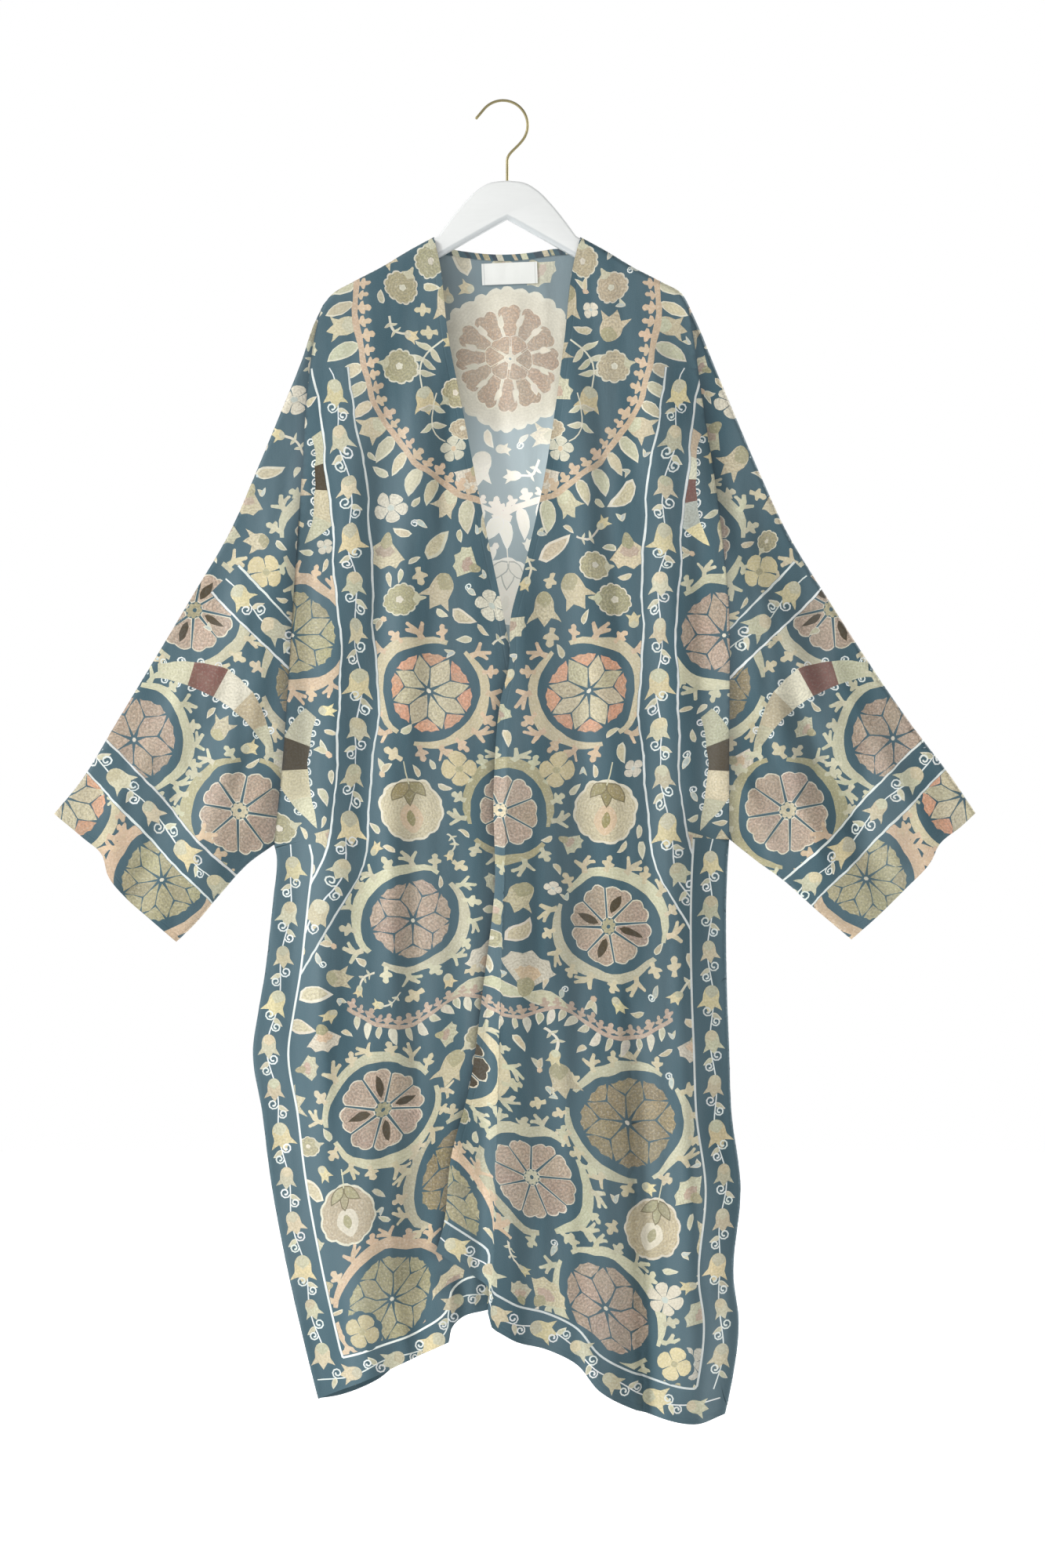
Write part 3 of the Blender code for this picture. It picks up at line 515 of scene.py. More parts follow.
def tulip(size, colour, cup="leaf", lines=0.45):
    """Bell flower with three flared tips."""
    rows = ((0, 0), (0.10, 0.24), (0.36, 0.33), (0.62, 0.33), (0.94, 0.52), (0.82, 0.20), (1.12, 0))
    cup_rows = ((-0.02, 0), (0.06, 0.20), (0.28, 0.27), (0.44, 0.10), (0.50, 0))
    return [shape(mirrored(rows, size), colour, lines, size * 0.5, 1, 0.8),
            shape(mirrored(cup_rows, size), cup, 0.4, size * 0.25, 1, 0.25 / 0.3)]


def carnation(size, colour, heart):
    """Fan-shaped flower with a toothed edge on a small calyx."""
    a = np.radians(np.linspace(-58, 58, 23))
    teeth = np.abs(np.sin(a * 5.6))
    fan_edge = np.concatenate([[0.12], 0.28 + 0.72 * (1.0 - 0.13 * teeth) * np.exp(1j * a)]) * size
    core = np.concatenate([[0.2], 0.30 + 0.38 * (1 - 0.1 * teeth) * np.exp(0.9j * a)]) * size
    calyx = mirrored(((0, 0), (0.08, 0.10), (0.30, 0.17), (0.40, 0.07), (0.44, 0)), size)
    return [shape(fan_edge, colour, 0.6, size * 0.28), shape(core, heart, 0.5, size * 0.3),
            shape(calyx, "moss", 0.5, size * 0.2, 1, 0.75)]


def rosette(radius, petals, colour, heart, lines=1.0, seeds=None):
    """Round flower of heart-shaped petals parted by the ground, with dark seeds on every other one."""
    parts = []
    share = pi / petals
    a = np.linspace(-1, 1, 11)
    edge = radius * (1 - 0.11 * np.abs(a) ** 3.5 - 0.05 * np.exp(-((a / 0.2) ** 2)))
    edge = edge * np.exp(1j * a * share * 0.95)
    foot = radius * 0.2 * np.exp(1j * share * 0.6)
    petal = np.concatenate([[np.conj(foot)], edge, [foot]])
    inner = (petal - 0.62 * radius) * 0.93 + 0.62 * radius
    for k, spoke in enumerate(turn_points(petals)):
        parts.append(shape(petal * spoke, "pale"))
        parts.append(shape(inner * spoke, colour, lines, 0.66 * radius * spoke, spoke, 0.26 / 0.36))
        if seeds and k % 2 == 0:
            seed = (0.30 + 0.54 * blade(1, 0.36, 0.08)) * radius
            parts.append(shape(seed * spoke, seeds, 0.6, 0.6 * radius * spoke, spoke, 0.36))
    parts.append(shape(scalloped(radius * 0.2, petals, 0.24), heart, 0.5))
    return parts + [shape(turn_points(8) * radius * 0.05, "ground")]


def star_round(radius, points, colour, shell, lines=0.7):
    """Round flower of pointed petals, with shells that fill it out between their tips."""
    share = pi / points
    parts = []
    kite = [r * np.exp(1j * turn * share) for r, turn in (
        (0.10, 0), (0.34, -0.90), (0.60, -0.94), (0.78, -0.4),
        (0.95, 0), (0.78, 0.4), (0.60, 0.94), (0.34, 0.90))]
    a = np.linspace(0.16, 1.84, 10)
    edge = (1 - 0.045 * np.abs(np.sin(a * pi * 1.5))) * np.exp(1j * a * share)
    filler = np.concatenate([[0.65 * np.exp(1j * share), 0.82 * np.exp(0.34j * share)], edge,
                             [0.82 * np.exp(1.66j * share)]])
    for spoke in turn_points(points):
        gap = np.exp(1j * share) * spoke
        parts.append(shape(filler * radius * spoke, shell, lines, 0.83 * radius * gap, 1j * gap, 0.5))
        parts.append(shape(np.array(kite) * radius * spoke, colour, lines, 0.52 * radius * spoke, spoke,
                           0.2 / 0.42))
    parts.append(shape(scalloped(radius * 0.12, points, 0.3, 3), "ground"))
    return parts + [shape(turn_points(6) * radius * 0.055, "cream")]


RING_GAP, BRANCH = 0.16, 20.0
LINE_WIDTH, STEM_WIDTH = 2.3, 1.4


def roundel(flower, radius, colour, tip, arcs, start):
    """A flower in a ring of tapered bands, with fingered branches on their outer side."""
    parts = []
    sweep, branches = tau / arcs, 16 // arcs
    for turn in range(arcs):
        low = start + turn * sweep + RING_GAP
        a = np.linspace(low, low + sweep - 2 * RING_GAP, 40 // arcs)
        taper = 2.6 + BRANCH * 0.52 * np.sin(np.linspace(0.06, 0.94, len(a)) * pi)
        parts.append(shape(stroke(radius * np.exp(1j * a), taper), colour, 0.35))
        for k in range(branches):
            b = low + (k + 0.3) * (sweep - 2 * RING_GAP) / (branches - 0.4)
            hand = 1 if k < branches / 2 else -1
            motif = antler(BRANCH, tip, hand) if k % 2 else trefoil(BRANCH * 0.82, tip)
            parts += stamped(motif, (radius + BRANCH * 0.1) * np.exp(1j * b), np.degrees(b) + hand * 24)
    return parts + flower


def horn(length, width, bow, colours):
    """Curved horn in blocks of colour, fringed with curls."""
    t = np.linspace(0, 1, 21)
    middle = length * (t - 0.5) + 1j * bow * (1 - (2 * t - 1) ** 2)
    half = sideways(middle) * width / 2 * np.minimum(1, 2.6 * (1 - t)) ** 0.8 * np.minimum(1, 0.5 + 2 * t)
    parts = []
    for at in range(1, 19, 2):
        for hand in (1, -1):
            out = heading(hand * half[at]) - hand * 40
            parts += stamped(curl(4.6, 1.6), middle[at] + hand * half[at] * 0.8, out, 1, hand < 0)
    cuts = np.linspace(0, 20, len(colours) + 1).astype(int)
    ratio = width * 0.55 / (length / len(colours) * 0.6)
    for low, high, colour in zip(cuts[:-1], cuts[1:], colours):
        block = np.concatenate([(middle + half)[low:high + 1], (middle - half)[low:high + 1][::-1]])
        parts.append(shape(block, colour, 0.5, middle[(low + high) // 2], 1, ratio))
    return parts


def palmette(size, colour, crown, heart):
    """Hanging pomegranate with a leafy crown and a small heart."""
    a = np.linspace(0, tau, 44, endpoint=False)
    pear = 1 - 0.10 * np.cos(a) + 0.06 * np.abs(np.sin(5.5 * a))
    body = size * 0.5 * pear * (np.cos(a) + 1j * np.sin(a) * 0.92) + size * 0.56
    heart_rows = ((0.44, 0), (0.50, 0.13), (0.68, 0.17), (0.84, 0.08), (0.90, 0))
    core_rows = ((0.54, 0), (0.60, 0.05), (0.70, 0.06), (0.78, 0))
    parts = [
        shape(body, "leaf_edge"),
        shape((body - size * 0.56) * 0.93 + size * 0.56, colour, 0.6, size * 0.56, 1, 0.44 / 0.48),
        shape(mirrored(heart_rows, size), heart, 0.3, size * 0.66, 1, 0.6),
        shape(mirrored(core_rows, size), crown, 0.3, size * 0.66, 1, 0.6),
    ]
    for angle, reach in ((0, 0.44), (44, 0.40), (-44, 0.40)):
        parts += stamped(leaf(size * reach, size * 0.2, 0.0, crown, "bronze", 0.5), size * 0.04, angle)
    return parts + [shape(stroke(np.linspace(-0.3, 0.08, 3) * size + 0j, 1.3), "leaf")]


def sprig(length, bend, pairs, flower):
    """Curved stem with small bent leaves on both sides and a flower at its end."""
    t = np.linspace(0, 1, 10)
    path = length * t + 1j * bend * length * np.sin(pi * t * 0.8)
    parts = [shape(stroke(path, STEM_WIDTH), "leaf_edge")]
    for k in range(pairs):
        i = 2 + k * 6 // pairs
        for hand in (1, -1):
            small = leaf(length * 0.27, length * 0.12, 0.5 * hand, lines=0.2)
            parts += stamped(small, path[i], heading(path[i + 1] - path[i]) + 42 * hand)
    return parts + stamped(flower, path[-1], heading(path[-1] - path[-2]))


def fan(size):
    """Large carnation between two leaves."""
    parts = []
    for hand in (1, -1):
        parts += stamped(leaf(size * 0.95, size * 0.34, 0.5 * hand), 0j, 74 * hand)
    return parts + carnation(size, "pale", "peach")


def along(path, pitch, start):
    """Points, headings in degrees and numbers of the places at an even pitch along a path."""
    run = sums(np.abs(np.diff(path)))
    places = []
    for k, at in enumerate(np.arange(start, run[-1] - pitch * 0.3, pitch)):
        here, ahead = (complex(np.interp(spot, run, path.real), np.interp(spot, run, path.imag))
                       for spot in (at, at + 1))
        places.append((here, heading(ahead - here), k))
    return places


def vine_band(path, width=40.0, pitch=54.0, lined=True):
    """Vine of bell flowers and paired curls, between two white lines if lined."""
    side = sideways(path)
    run = sums(np.abs(np.diff(path)))
    parts = [shape(stroke(path, width + 3), "ground")] if lined else []
    for edge in (1, -1) if lined else ():
        parts.append(shape(stroke(path + side * edge * width / 2, LINE_WIDTH), "line"))
    wave = path + side * width * 0.08 * np.sin(pi * run / pitch)
    parts.append(shape(stroke(wave, STEM_WIDTH), "line"))
    heads = (tulip(width * 0.72, "yolk"), tulip(width * 0.66, "leaf", "sand"), tulip(width * 0.72, "sand"))
    for here, way, k in along(wave, pitch, VINE_START):
        hand = 1 if k % 2 else -1
        way += 14 * hand + 7 * sin(3.1 * k)
        parts += stamped(heads[k % 3], here, way, 1 + 0.13 * sin(2.3 * k), hand < 0)
    for here, way, k in along(wave, pitch, VINE_START + pitch * 0.6):
        hand = -1 if k % 2 else 1
        parts += stamped(leaf(width * 0.34, width * 0.17, 0.4 * hand), here, way + 40 * hand)
        parts += stamped(curl(width * 0.17), here, way - 12 * hand, 1, hand > 0)
    for here, way, k in along(wave, pitch, VINE_START + pitch * 0.82):
        hand = -1 if k % 2 else 1
        parts += stamped(curl(width * 0.15), here, way + 20 * hand, 1, hand < 0)
    return parts


def garland(path, left, left_pitch, right, right_pitch, band, colour):
    """Band with one row of motifs on each side of it."""
    parts = []
    for motifs, pitch, turn in ((left, left_pitch, 90), (right, right_pitch, -90)):
        for here, way, k in along(path, pitch, pitch * 0.5):
            parts += stamped(motifs[k % len(motifs)], here, way + turn)
    return parts + [shape(stroke(path, band), colour, 0.3)]


class Layout:
    """Stack of motifs on one sheet, with the room that is left between them."""

    CELL = 4.0
    FAR = 26.0
    SNUG = 0.4
    BAND_REACH = 20

    def __init__(self, seed, low, high):
        self.shapes, self.random, self.low = [], np.random.default_rng(seed), low
        wide, tall = (a + np.arange(int((b - a) / self.CELL)) * self.CELL for a, b in zip(low, high))
        self.cells = wide[:, None] + 1j * tall
        self.room = np.full(self.cells.shape, self.FAR)

    def take(self, points, reach):
        """Marks the round places at the points as full."""
        span = self.FAR + reach
        for point in points:
            x0, x1 = (max(int((point.real + s - self.low[0]) / self.CELL), 0) for s in (-span, span))
            y0, y1 = (max(int((point.imag + s - self.low[1]) / self.CELL), 0) for s in (-span, span))
            window = self.room[x0:x1, y0:y1]
            np.minimum(window, np.abs(self.cells[x0:x1, y0:y1] - point) - reach, out=window)

    def lay(self, parts):
        """Adds motifs and takes the places of their outlines and middles."""
        self.shapes += parts
        for s in parts:
            middle = s.outline.mean()
            self.take(s.outline[::2], 1.5)
            self.take((s.outline[::2] + middle) / 2, 3.0)
            self.take([middle], np.abs(s.outline - middle).min())

    def put(self, parts, across, drop, turn=0.0, flip=False):
        """Lays one motif at its place."""
        self.lay(stamped(parts, complex(across, drop), turn, 1.0, flip))

    def fill(self, motifs, reach):
        """Scatters motifs of one size wherever there is room, the tightest places first."""
        while True:
            free = np.argwhere(self.room > reach)
            if not len(free):
                return
            free = free[np.argsort(self.room[tuple(free.T)])][:max(int(len(free) * self.SNUG), 1)]
            spot = self.cells[tuple(free[self.random.integers(len(free))])]
            motif = motifs[self.random.integers(len(motifs))]
            turn = self.random.uniform(0, 360)
            self.shapes += stamped(motif, spot, turn, reach / 10, self.random.random() < 0.5)
            self.take([spot], reach)

    def finished(self, bands, sizes):
        """All shapes, after the gaps round the bands are filled and the bands are laid."""
        self.take(np.concatenate(bands), self.BAND_REACH)
        for motifs, reach in sizes:
            self.fill(motifs, reach)
        for path in bands:
            self.shapes += vine_band(path)
        return self.shapes


def fillers():
    """The scattered motifs, which fit a circle of 10 mm, and the room that each size is given."""
    medium = [
        stamped(sprig(14, 0.3, 2, tulip(8, "yolk")), -10),
        stamped(tulip(18, "sand", "moss", 0.7), -9),
        round_bud(8.5, "moss", 9, 0.8),
        blossom(9, 5, "cream", "mist", 0.6),
        stamped(carnation(17, "leaf", "rose"), -9),
        stamped(leaf(20, 9.5, 0.35, "sand", "leaf_edge", 0.6), -10),
    ]
    small = [
        stamped(leaf(20, 10, 0.3), -10),
        stamped(leaf(19, 9, -0.5, "sand"), -9),
        stamped(tulip(16, "yolk"), -8),
        stamped(leaf(14, 6.5, 0.5) + leaf(14, 6.5, -0.5, "sand"), -2)
        + [shape(turn_points(6) * 3.4 - 3, "peach")],
        blossom(9.5, 4, "cream", "mist"),
        stamped(trefoil(17, "sand"), -8),
        stamped(leaf(13, 6.5, 0.2, "mist"), -1) + stamped(curl(4.2, 1.5), 0j, 180),
    ]
    fine = [
        stamped(leaf(19, 9, 0.4), -9),
        stamped(leaf(18, 8, -0.5, "sand"), -8),
        stamped(leaf(13, 6.5, 0.5) + leaf(13, 6.5, -0.5, "mist"), -1),
    ]
    return (medium, 20.0), (medium, 15.0), (small, 10.5), (fine, 7.8)


def motif_book():
    """The larger motifs by name."""
    return {
        "rose": roundel(rosette(46, 8, "rose", "sand"), 60, "moss", "leaf", 2, 0.4),
        "rose_b": roundel(rosette(45, 9, "rose", "leaf"), 59, "leaf", "leaf", 3, 1.2),
        "rose_seeds": roundel(rosette(46, 8, "rose", "moss", 1.0, "umber"), 60, "leaf", "sand", 2, 0.2),
        "star_coral": roundel(star_round(46, 8, "sand", "coral"), 60, "sand", "peach", 2, 0.8),
        "star_moss": roundel(star_round(46, 9, "moss", "moss"), 60, "peach", "peach", 2, 0.1),
        "star_bark": roundel(star_round(50, 8, "bark", "bark", 1.0), 64, "leaf", "sand", 3, 1.0),
        "star_rose": roundel(star_round(46, 7, "rose", "rose", 1.0), 60, "leaf", "leaf", 2, 0.6),
        "star_dark": roundel(rosette(44, 7, "umber", "moss", 0.9), 58, "sand", "leaf", 2, 1.3),
        "bud": round_bud(18, "tan"),
        "bud_moss": round_bud(19, "moss", 12),
        "bud_small": round_bud(13, "tan", 9),
        "horn_a": horn(165, 30, 34, ("leaf", "maroon", "pale", "tan", "leaf")),
        "horn_b": horn(150, 26, -28, ("pale", "umber", "mist", "leaf")),
        "horn_c": horn(132, 32, 26, ("peach", "pale", "maroon", "mist", "yolk")),
        "horn_pale": horn(126, 34, 24, ("leaf", "umber", "sand", "leaf")),
        "palm": palmette(72, "sand", "olive", "peach"),
        "palm_b": palmette(66, "tan", "moss", "cream"),
        "fan": fan(56),
        "carnation": carnation(40, "sand", "rose"),
        "carnation_b": carnation(34, "pale", "peach"),
        "sprig_b": sprig(62, -0.3, 3, tulip(28, "yolk")),
        "sprig_c": sprig(54, 0.25, 2, stamped(blossom(14, 5, "cream", "peach"), 12)),
        "blossom": blossom(20, 4, "yolk", "moss"),
        "blossom_b": blossom(19, 6, "pale", "mist"),
        "tulip": tulip(36, "sand", "moss"),
        "leaf": stamped(leaf(44, 19, 0.35), -20),
    }


# Larger motifs by name, across, drop, turn in degrees, and True if mirrored
FRONT_SPOTS = (
    ("bud", 84, 178, 90), ("bud", 118, 206, 60), ("tulip", 66, 206, 96, True), ("sprig_b", 72, 262, 78),
    ("bud", 118, 296, 170), ("sprig_c", 80, 326, 110, True), ("bud_small", 52, 366, 20),
    ("carnation_b", 32, 402, 64), ("carnation", 134, 480, 80), ("tulip", 68, 528, 60),
    ("bud_moss", 118, 552, 0), ("star_coral", 92, 656, 12), ("rose", 4, 796, 0), ("palm", 126, 752, 96),
    ("blossom", 66, 744, 0), ("rose_seeds", 134, 916, 10), ("carnation", 200, 800, 60, True),
    ("fan", 50, 1018, -90), ("star_bark", 184, 1130, 6), ("horn_c", 218, 430, 84),
    ("star_rose", 240, 590, 0), ("horn_pale", 226, 742, 88, True), ("leaf", 238, 880, 70),
    ("tulip", 96, 1092, 60), ("carnation_b", 246, 1024, 100), ("rose_b", 98, 1236, 0),
    ("star_dark", -10, 1142, 0), ("palm_b", 232, 1206, 92, True), ("star_rose", 190, 1344, 0),
    ("carnation", 112, 1380, -60, True), ("star_moss", 4, 1326, 0), ("blossom_b", 252, 1312, 14),
)
OTHER_SIDE = {
    "rose_seeds": "star_rose", "star_bark": "rose_seeds", "star_rose": "star_moss", "rose_b": "star_bark",
    "horn_c": "horn_pale", "blossom_b": "carnation_b", "bud": "bud_moss", "star_moss": "rose_b",
}
CENTRE_SPOTS = (
    ("palm", 3, 506, 90), ("rose", 3, 796, 0), ("fan", 3, 1016, -90), ("star_dark", 3, 1150, 0),
    ("star_moss", 3, 1326, 0), ("bud_moss", 3, 620, 0),
)
SLEEVE_SPOTS = (
    ("star_coral", -196, 54, 0), ("horn_c", -140, -40, 20), ("rose_b", -50, 20, 0),
    ("tulip", -236, -28, 30), ("horn_b", -70, 120, -14), ("carnation", -60, -92, 10),
    ("star_bark", 92, 84, 10), ("rose_seeds", 96, -74, 0), ("horn_a", 186, 4, 84), ("blossom", 20, -30, 0),
    ("star_rose", 252, -60, 0), ("carnation_b", 176, 110, -40), ("rose", 262, 84, 0),
    ("horn_pale", 6, 150, 10), ("star_moss", 372, 46, 0), ("star_coral", 352, -92, 0),
)
FRONT_BAND = ((196, 296), (170, 520), (176, 700), (206, 850), (280, 960))
YOKE_LINE = ((168, 150), (164, 262), (134, 356), (70, 424), (-10, 462))
SWAG_LINE = ((-30, 1040), (30, 1052), (90, 1026), (150, 1040), (215, 1010))
# Drop and across of the line that each front's print starts from
EDGE_LINE = {
    "right": (
        (0, 4), (560, 4), (628, 4), (757, -8), (871, -11), (992, -23), (1088, -36), (1170, -55),
        (1280, -70), (1470, -82),
    ),
    "left": ((0, 4), (560, 6), (626, 10), (800, 22), (992, 40), (1192, 56), (1314, 64), (1470, 72)),
}
PRINT_HEM = 1440.0
HEM_PULL, HEM_PULL_FROM, HEM_PULL_RUN = 0.72, 640.0, 700.0
HEM_SOFTEN = 36.0
BORDER_INSET = 40.0
CORNER_IN, CORNER_UP, CORNER_ROOM, CORNER_FLOWER = 25, 27, 23, 19

# Corners of the area that each kind of print fills, and the middle line of a sleeve's print
FRONT_AREA, BACK_AREA = ((-50, 140), (300, 1450)), ((-300, 140), (300, 1450))
SLEEVE_AREA = ((-320, -190), (440, 190))
SLEEVE_START = {"left": -228 + 520j, "right": 250 + 520j}
SLEEVE_SLANT = {"left": 120.6, "right": 58.9}
CUFF_BANDS = (78, 318)
BACK_TURN = 8
WOBBLES = (
    (170, 240, 1.5, 0.3), (-90, 130, 1.2, 2.1), (47, -61, 0.7, 4), (19, 23, 0.24, 1.2), (-13, 17, 0.16, 5.1),
)


def hand_drawn(z):
    """The outlines pulled a little out of true, as handwork is."""
    shift = 0j
    for wave_across, wave_down, height, phase in WOBBLES:
        turn = tau * (z.real / wave_across + z.imag / wave_down) + phase
        shift = shift + height * (np.sin(turn) + 1j * np.cos(1.3 * turn))
    return z + shift


def side_of(piece):
    """'left' or 'right', as a piece's name ends."""
    return piece.split("_")[-1]


def hung(z, piece):
    """Cloth coordinates of a panel turned into the flat places where it hangs."""
    z = hand_drawn(z)
    across, drop = z.real, z.imag
    if piece != "back":
        side = side_of(piece)
        across = np.interp(drop, *np.transpose(EDGE_LINE[side])) + SIGN[side] * across
    hem = even_curve(HEM[piece], 8.0)
    hem = hem[np.argsort(hem[:, 0])]
    steps = np.linspace(-HEM_SOFTEN, HEM_SOFTEN, 9)
    level = np.mean([np.interp(across + step, hem[:, 0], hem[:, 1]) for step in steps], axis=0)
    return across + 1j * (drop + HEM_PULL * (level - PRINT_HEM) * ease((drop - HEM_PULL_FROM) / HEM_PULL_RUN))


def hung_shapes(shapes, piece):
    """Shapes of a panel's print laid where the panel hangs, on its border."""
    ends = np.cumsum([len(s.outline) for s in shapes])
    outlines = np.split(hung(np.concatenate([s.outline for s in shapes]), piece), ends[:-1])
    centres = hung(np.array([s.centre for s in shapes]), piece)
    mirror = piece == "front_left"
    shapes = [s._replace(outline=outline, centre=centre, axis=-np.conj(s.axis) if mirror else s.axis)
              for s, outline, centre in zip(shapes, outlines, centres)]
    return shapes + border(piece)


def border(piece):
    """Bare strip along the hem and side seams, with a line, a vine and a flower in each corner."""
    level = curve_path(HEM[piece], 6.0)
    order = np.argsort(level.real)
    strip_middle, strip_width = BORDER_INSET / 2 - 6, BORDER_INSET + 14
    parts = [shape(stroke(level - 1j * strip_middle, strip_width), "ground")]
    line, vine = level - 1j * BORDER_INSET, level - 1j * BORDER_INSET * 0.5
    runs, corners = [], []
    for side in SIGN if piece == "back" else [side_of(piece)]:
        inward = -SIGN[side]
        seam = curve_path(SIDE_SEAM[side], 6.0)
        edge = seam + inward * BORDER_INSET
        corner = np.interp(edge[-1].real, level.real[order], level.imag[order]) - BORDER_INSET
        parts.append(shape(stroke(seam + inward * strip_middle, strip_width), "ground"))
        edge = edge[edge.imag < corner]
        line = line[(line.real - edge[-1].real) * inward > 0]
        meet = line[np.argmin(np.abs(line - edge[-1]))]
        runs.append((np.append(edge, meet), seam[seam.imag < corner + 8] + inward * BORDER_INSET * 0.46))
        vine = vine[(vine.real - edge[-1].real) * inward > 10 - BORDER_INSET]
        corners.append(complex(edge[-1].real + inward * CORNER_IN, corner - CORNER_UP))
    for path, middle in [(line, vine)] + runs:
        parts.append(shape(stroke(path, LINE_WIDTH), "line"))
        parts += vine_band(middle, BORDER_INSET - 4, 50, False)
    for spot in corners:
        parts.append(shape(scalloped(CORNER_ROOM, 9, 0.1) + spot, "ground"))
        parts += stamped(blossom(CORNER_FLOWER, 4, "yolk", "moss"), spot, 20)
    return parts


def garlands(layout, hand):
    """Yoke that comes down from one shoulder to a point, and a looped band of lobed leaves."""
    yoke, swag = (curve_path([(hand * across, drop) for across, drop in rows][::hand])
                  for rows in (YOKE_LINE, SWAG_LINE))
    leaves = [leaf(38, 16, 0.30), leaf(33, 14, 0.26, "sand")] * 2 + [tulip(30, "sand")]
    layout.lay(garland(yoke, [trefoil(14, "peach"), trefoil(16, "peach")], 15.0, leaves, 22.0, 6.4, "peach"))
    leaves = [leaf(21, 9, 0.3, "cream"), leaf(17, 8, 0.3)]
    layout.lay(garland(swag, leaves, 14.0, [trefoil(12, "rose"), trefoil(14, "rose")], 12.0, 4.6, "rose"))


def front_print(piece):
    """Flat shapes on one front."""
    book = motif_book()
    left = piece == "front_left"
    layout = Layout(11 if left else 12, *FRONT_AREA)
    for name, *spot in FRONT_SPOTS:
        layout.put(book[OTHER_SIDE.get(name, name) if left else name], *spot)
    garlands(layout, 1)
    return hung_shapes(layout.finished([curve_path(FRONT_BAND)], fillers()), piece)


def medallion():
    """Pale scalloped disc with a flower of many petals."""
    parts = [shape(scalloped(80, 30, 0.045), "leaf_edge"), shape(scalloped(76, 30, 0.045), "pale", 0.25)]
    parts += rosette(60, 12, "clay", "pale", 1.3)
    for spoke in turn_points(12, pi / 12):
        parts += stamped(leaf(15, 7, 0.3, "pale", "pale", 0.0), 34 * spoke, heading(spoke))
    return parts + rosette(26, 6, "clay", "pale", 1.3)


def back_print():
    """Flat shapes on the back."""
    book = motif_book()
    layout = Layout(21, *BACK_AREA)
    layout.put(medallion(), 6, 284)
    for name, *spot in CENTRE_SPOTS:
        layout.put(book[name], *spot)
    for name, across, drop, turn, *flip in FRONT_SPOTS:
        if across > 60 and (drop > 420 or across > 100):
            layout.put(book[name], across + 3, drop, turn, *flip)
            layout.put(book[OTHER_SIDE.get(name, name)], 3 - across, drop, 180 - turn, not flip)
    bands = []
    for hand in (1, -1):
        garlands(layout, hand)
        bands.append(curve_path([(hand * across + 3, drop) for across, drop in FRONT_BAND]))
    return hung_shapes(layout.finished(bands, fillers()[:-1]), "back")


def sleeve_print(piece, facing):
    """Flat shapes on one side of a sleeve."""
    book = motif_book()
    side = side_of(piece)
    layout = Layout(31 + 2 * (side == "left") + (facing > 0), *SLEEVE_AREA)
    mirror = np.conj if side == "left" else np.asarray
    origin, spin = SLEEVE_START[side], np.exp(1j * radians(SLEEVE_SLANT[side]))

    def to_flat(z):
        return origin + spin * mirror(hand_drawn(z))

    for name, across, drop, turn, *flip in SLEEVE_SPOTS:
        layout.put(book[name], across, drop, turn + BACK_TURN * (facing > 0), *flip)
    cuff = mirror((np.array([complex(*CUFF[side][0]), complex(*CUFF[side][-1])]) - origin) / spin)
    chord = cuff[0] + (cuff[1] - cuff[0]) * np.linspace(-0.3, 1.3, 60)
    inward = 1j * (cuff[1] - cuff[0]) / abs(cuff[1] - cuff[0])
    inward *= -np.sign(inward.real)
    shapes = layout.finished([chord + inward * reach for reach in CUFF_BANDS], fillers())
    return [s._replace(outline=to_flat(s.outline), centre=to_flat(s.centre), axis=spin * mirror(s.axis))
            for s in shapes]


# Cutting the cloth
PANELS = ("front_left", "front_right", "back")
EDGE_ROWS = (0.15, 0.5, 1.1, 2.0, 3.2, 4.8, 7.0)
GRID, FINE_GRID = 7.0, 3.0
FINE_ACROSS, FINE_DROP = (-50, 45), (660, 1380)
TRIM_GRID, TRIM_REACH = 2.4, 60.0
CUT_TOLERANCE = 0.015
SPILL, SPILL_ROOM = 1.6, 30.0
NORMAL_STEP, EDGE_NORMAL = 0.4, 0.5
FOLD_SHADE, SHADE_REACH = 0.75, 60.0
# Reach of the painted shadow beside the armhole on the sleeves, width of the dark seam line on the panels,
# and reach of the painted shadow beside the right front's edge on the left front
SEAM_SHADE, SEAM_LINE, OVERLAP_SHADE = 26.0, 2.4, 18.0
SHARP_ANGLE = radians(40)
SEEN_INSIDE = {"back": (-110.0, 115.0, 620.0)}
COARSE_SHAPE = 27.0
FRONT_INNER = 2.2
TINT_JITTER, CHANNEL_JITTER = 0.07, 0.015
Sheet = namedtuple("Sheet", "points normals triangles tint echo flat away wrong uv seam")


def panel_outline(piece):
    """Closed outline of a piece in flat points about 6 mm apart, without those that two runs share."""
    side = side_of(piece)
    if piece == "back":
        runs = (
            (BACK_NECK, 1), (shoulder_rows("right"), 1), (ARMHOLE["right"], 1), (SIDE_SEAM["right"], 1),
            (HEM["back"], -1), (SIDE_SEAM["left"], -1), (ARMHOLE["left"], -1), (shoulder_rows("left"), -1),
        )
    elif piece in PANELS:
        runs = ((shoulder_rows(side), 1), (ARMHOLE[side], 1), (SIDE_SEAM[side], 1), (HEM[piece], -SIGN[side]),
                (FRONT_EDGE[side], -1))
    else:
        runs = (SLEEVE_TOP[side], 1), (CUFF[side], 1), (SLEEVE_UNDER[side], -1), (ARMHOLE[side], -1)
    line = np.vstack([even_curve(rows, 6.0)[::step] for rows, step in runs])
    return line[np.linalg.norm(line - np.roll(line, 1, axis=0), axis=1) > 0.05]


def free_edges(piece):
    """The hemmed edges of a piece."""
    side = side_of(piece)
    neck = BACK_NECK if piece == "back" else FRONT_EDGE[side]
    return [smooth_curve(rows, 80) for rows in ((HEM[piece], neck) if piece in PANELS else (CUFF[side],))]


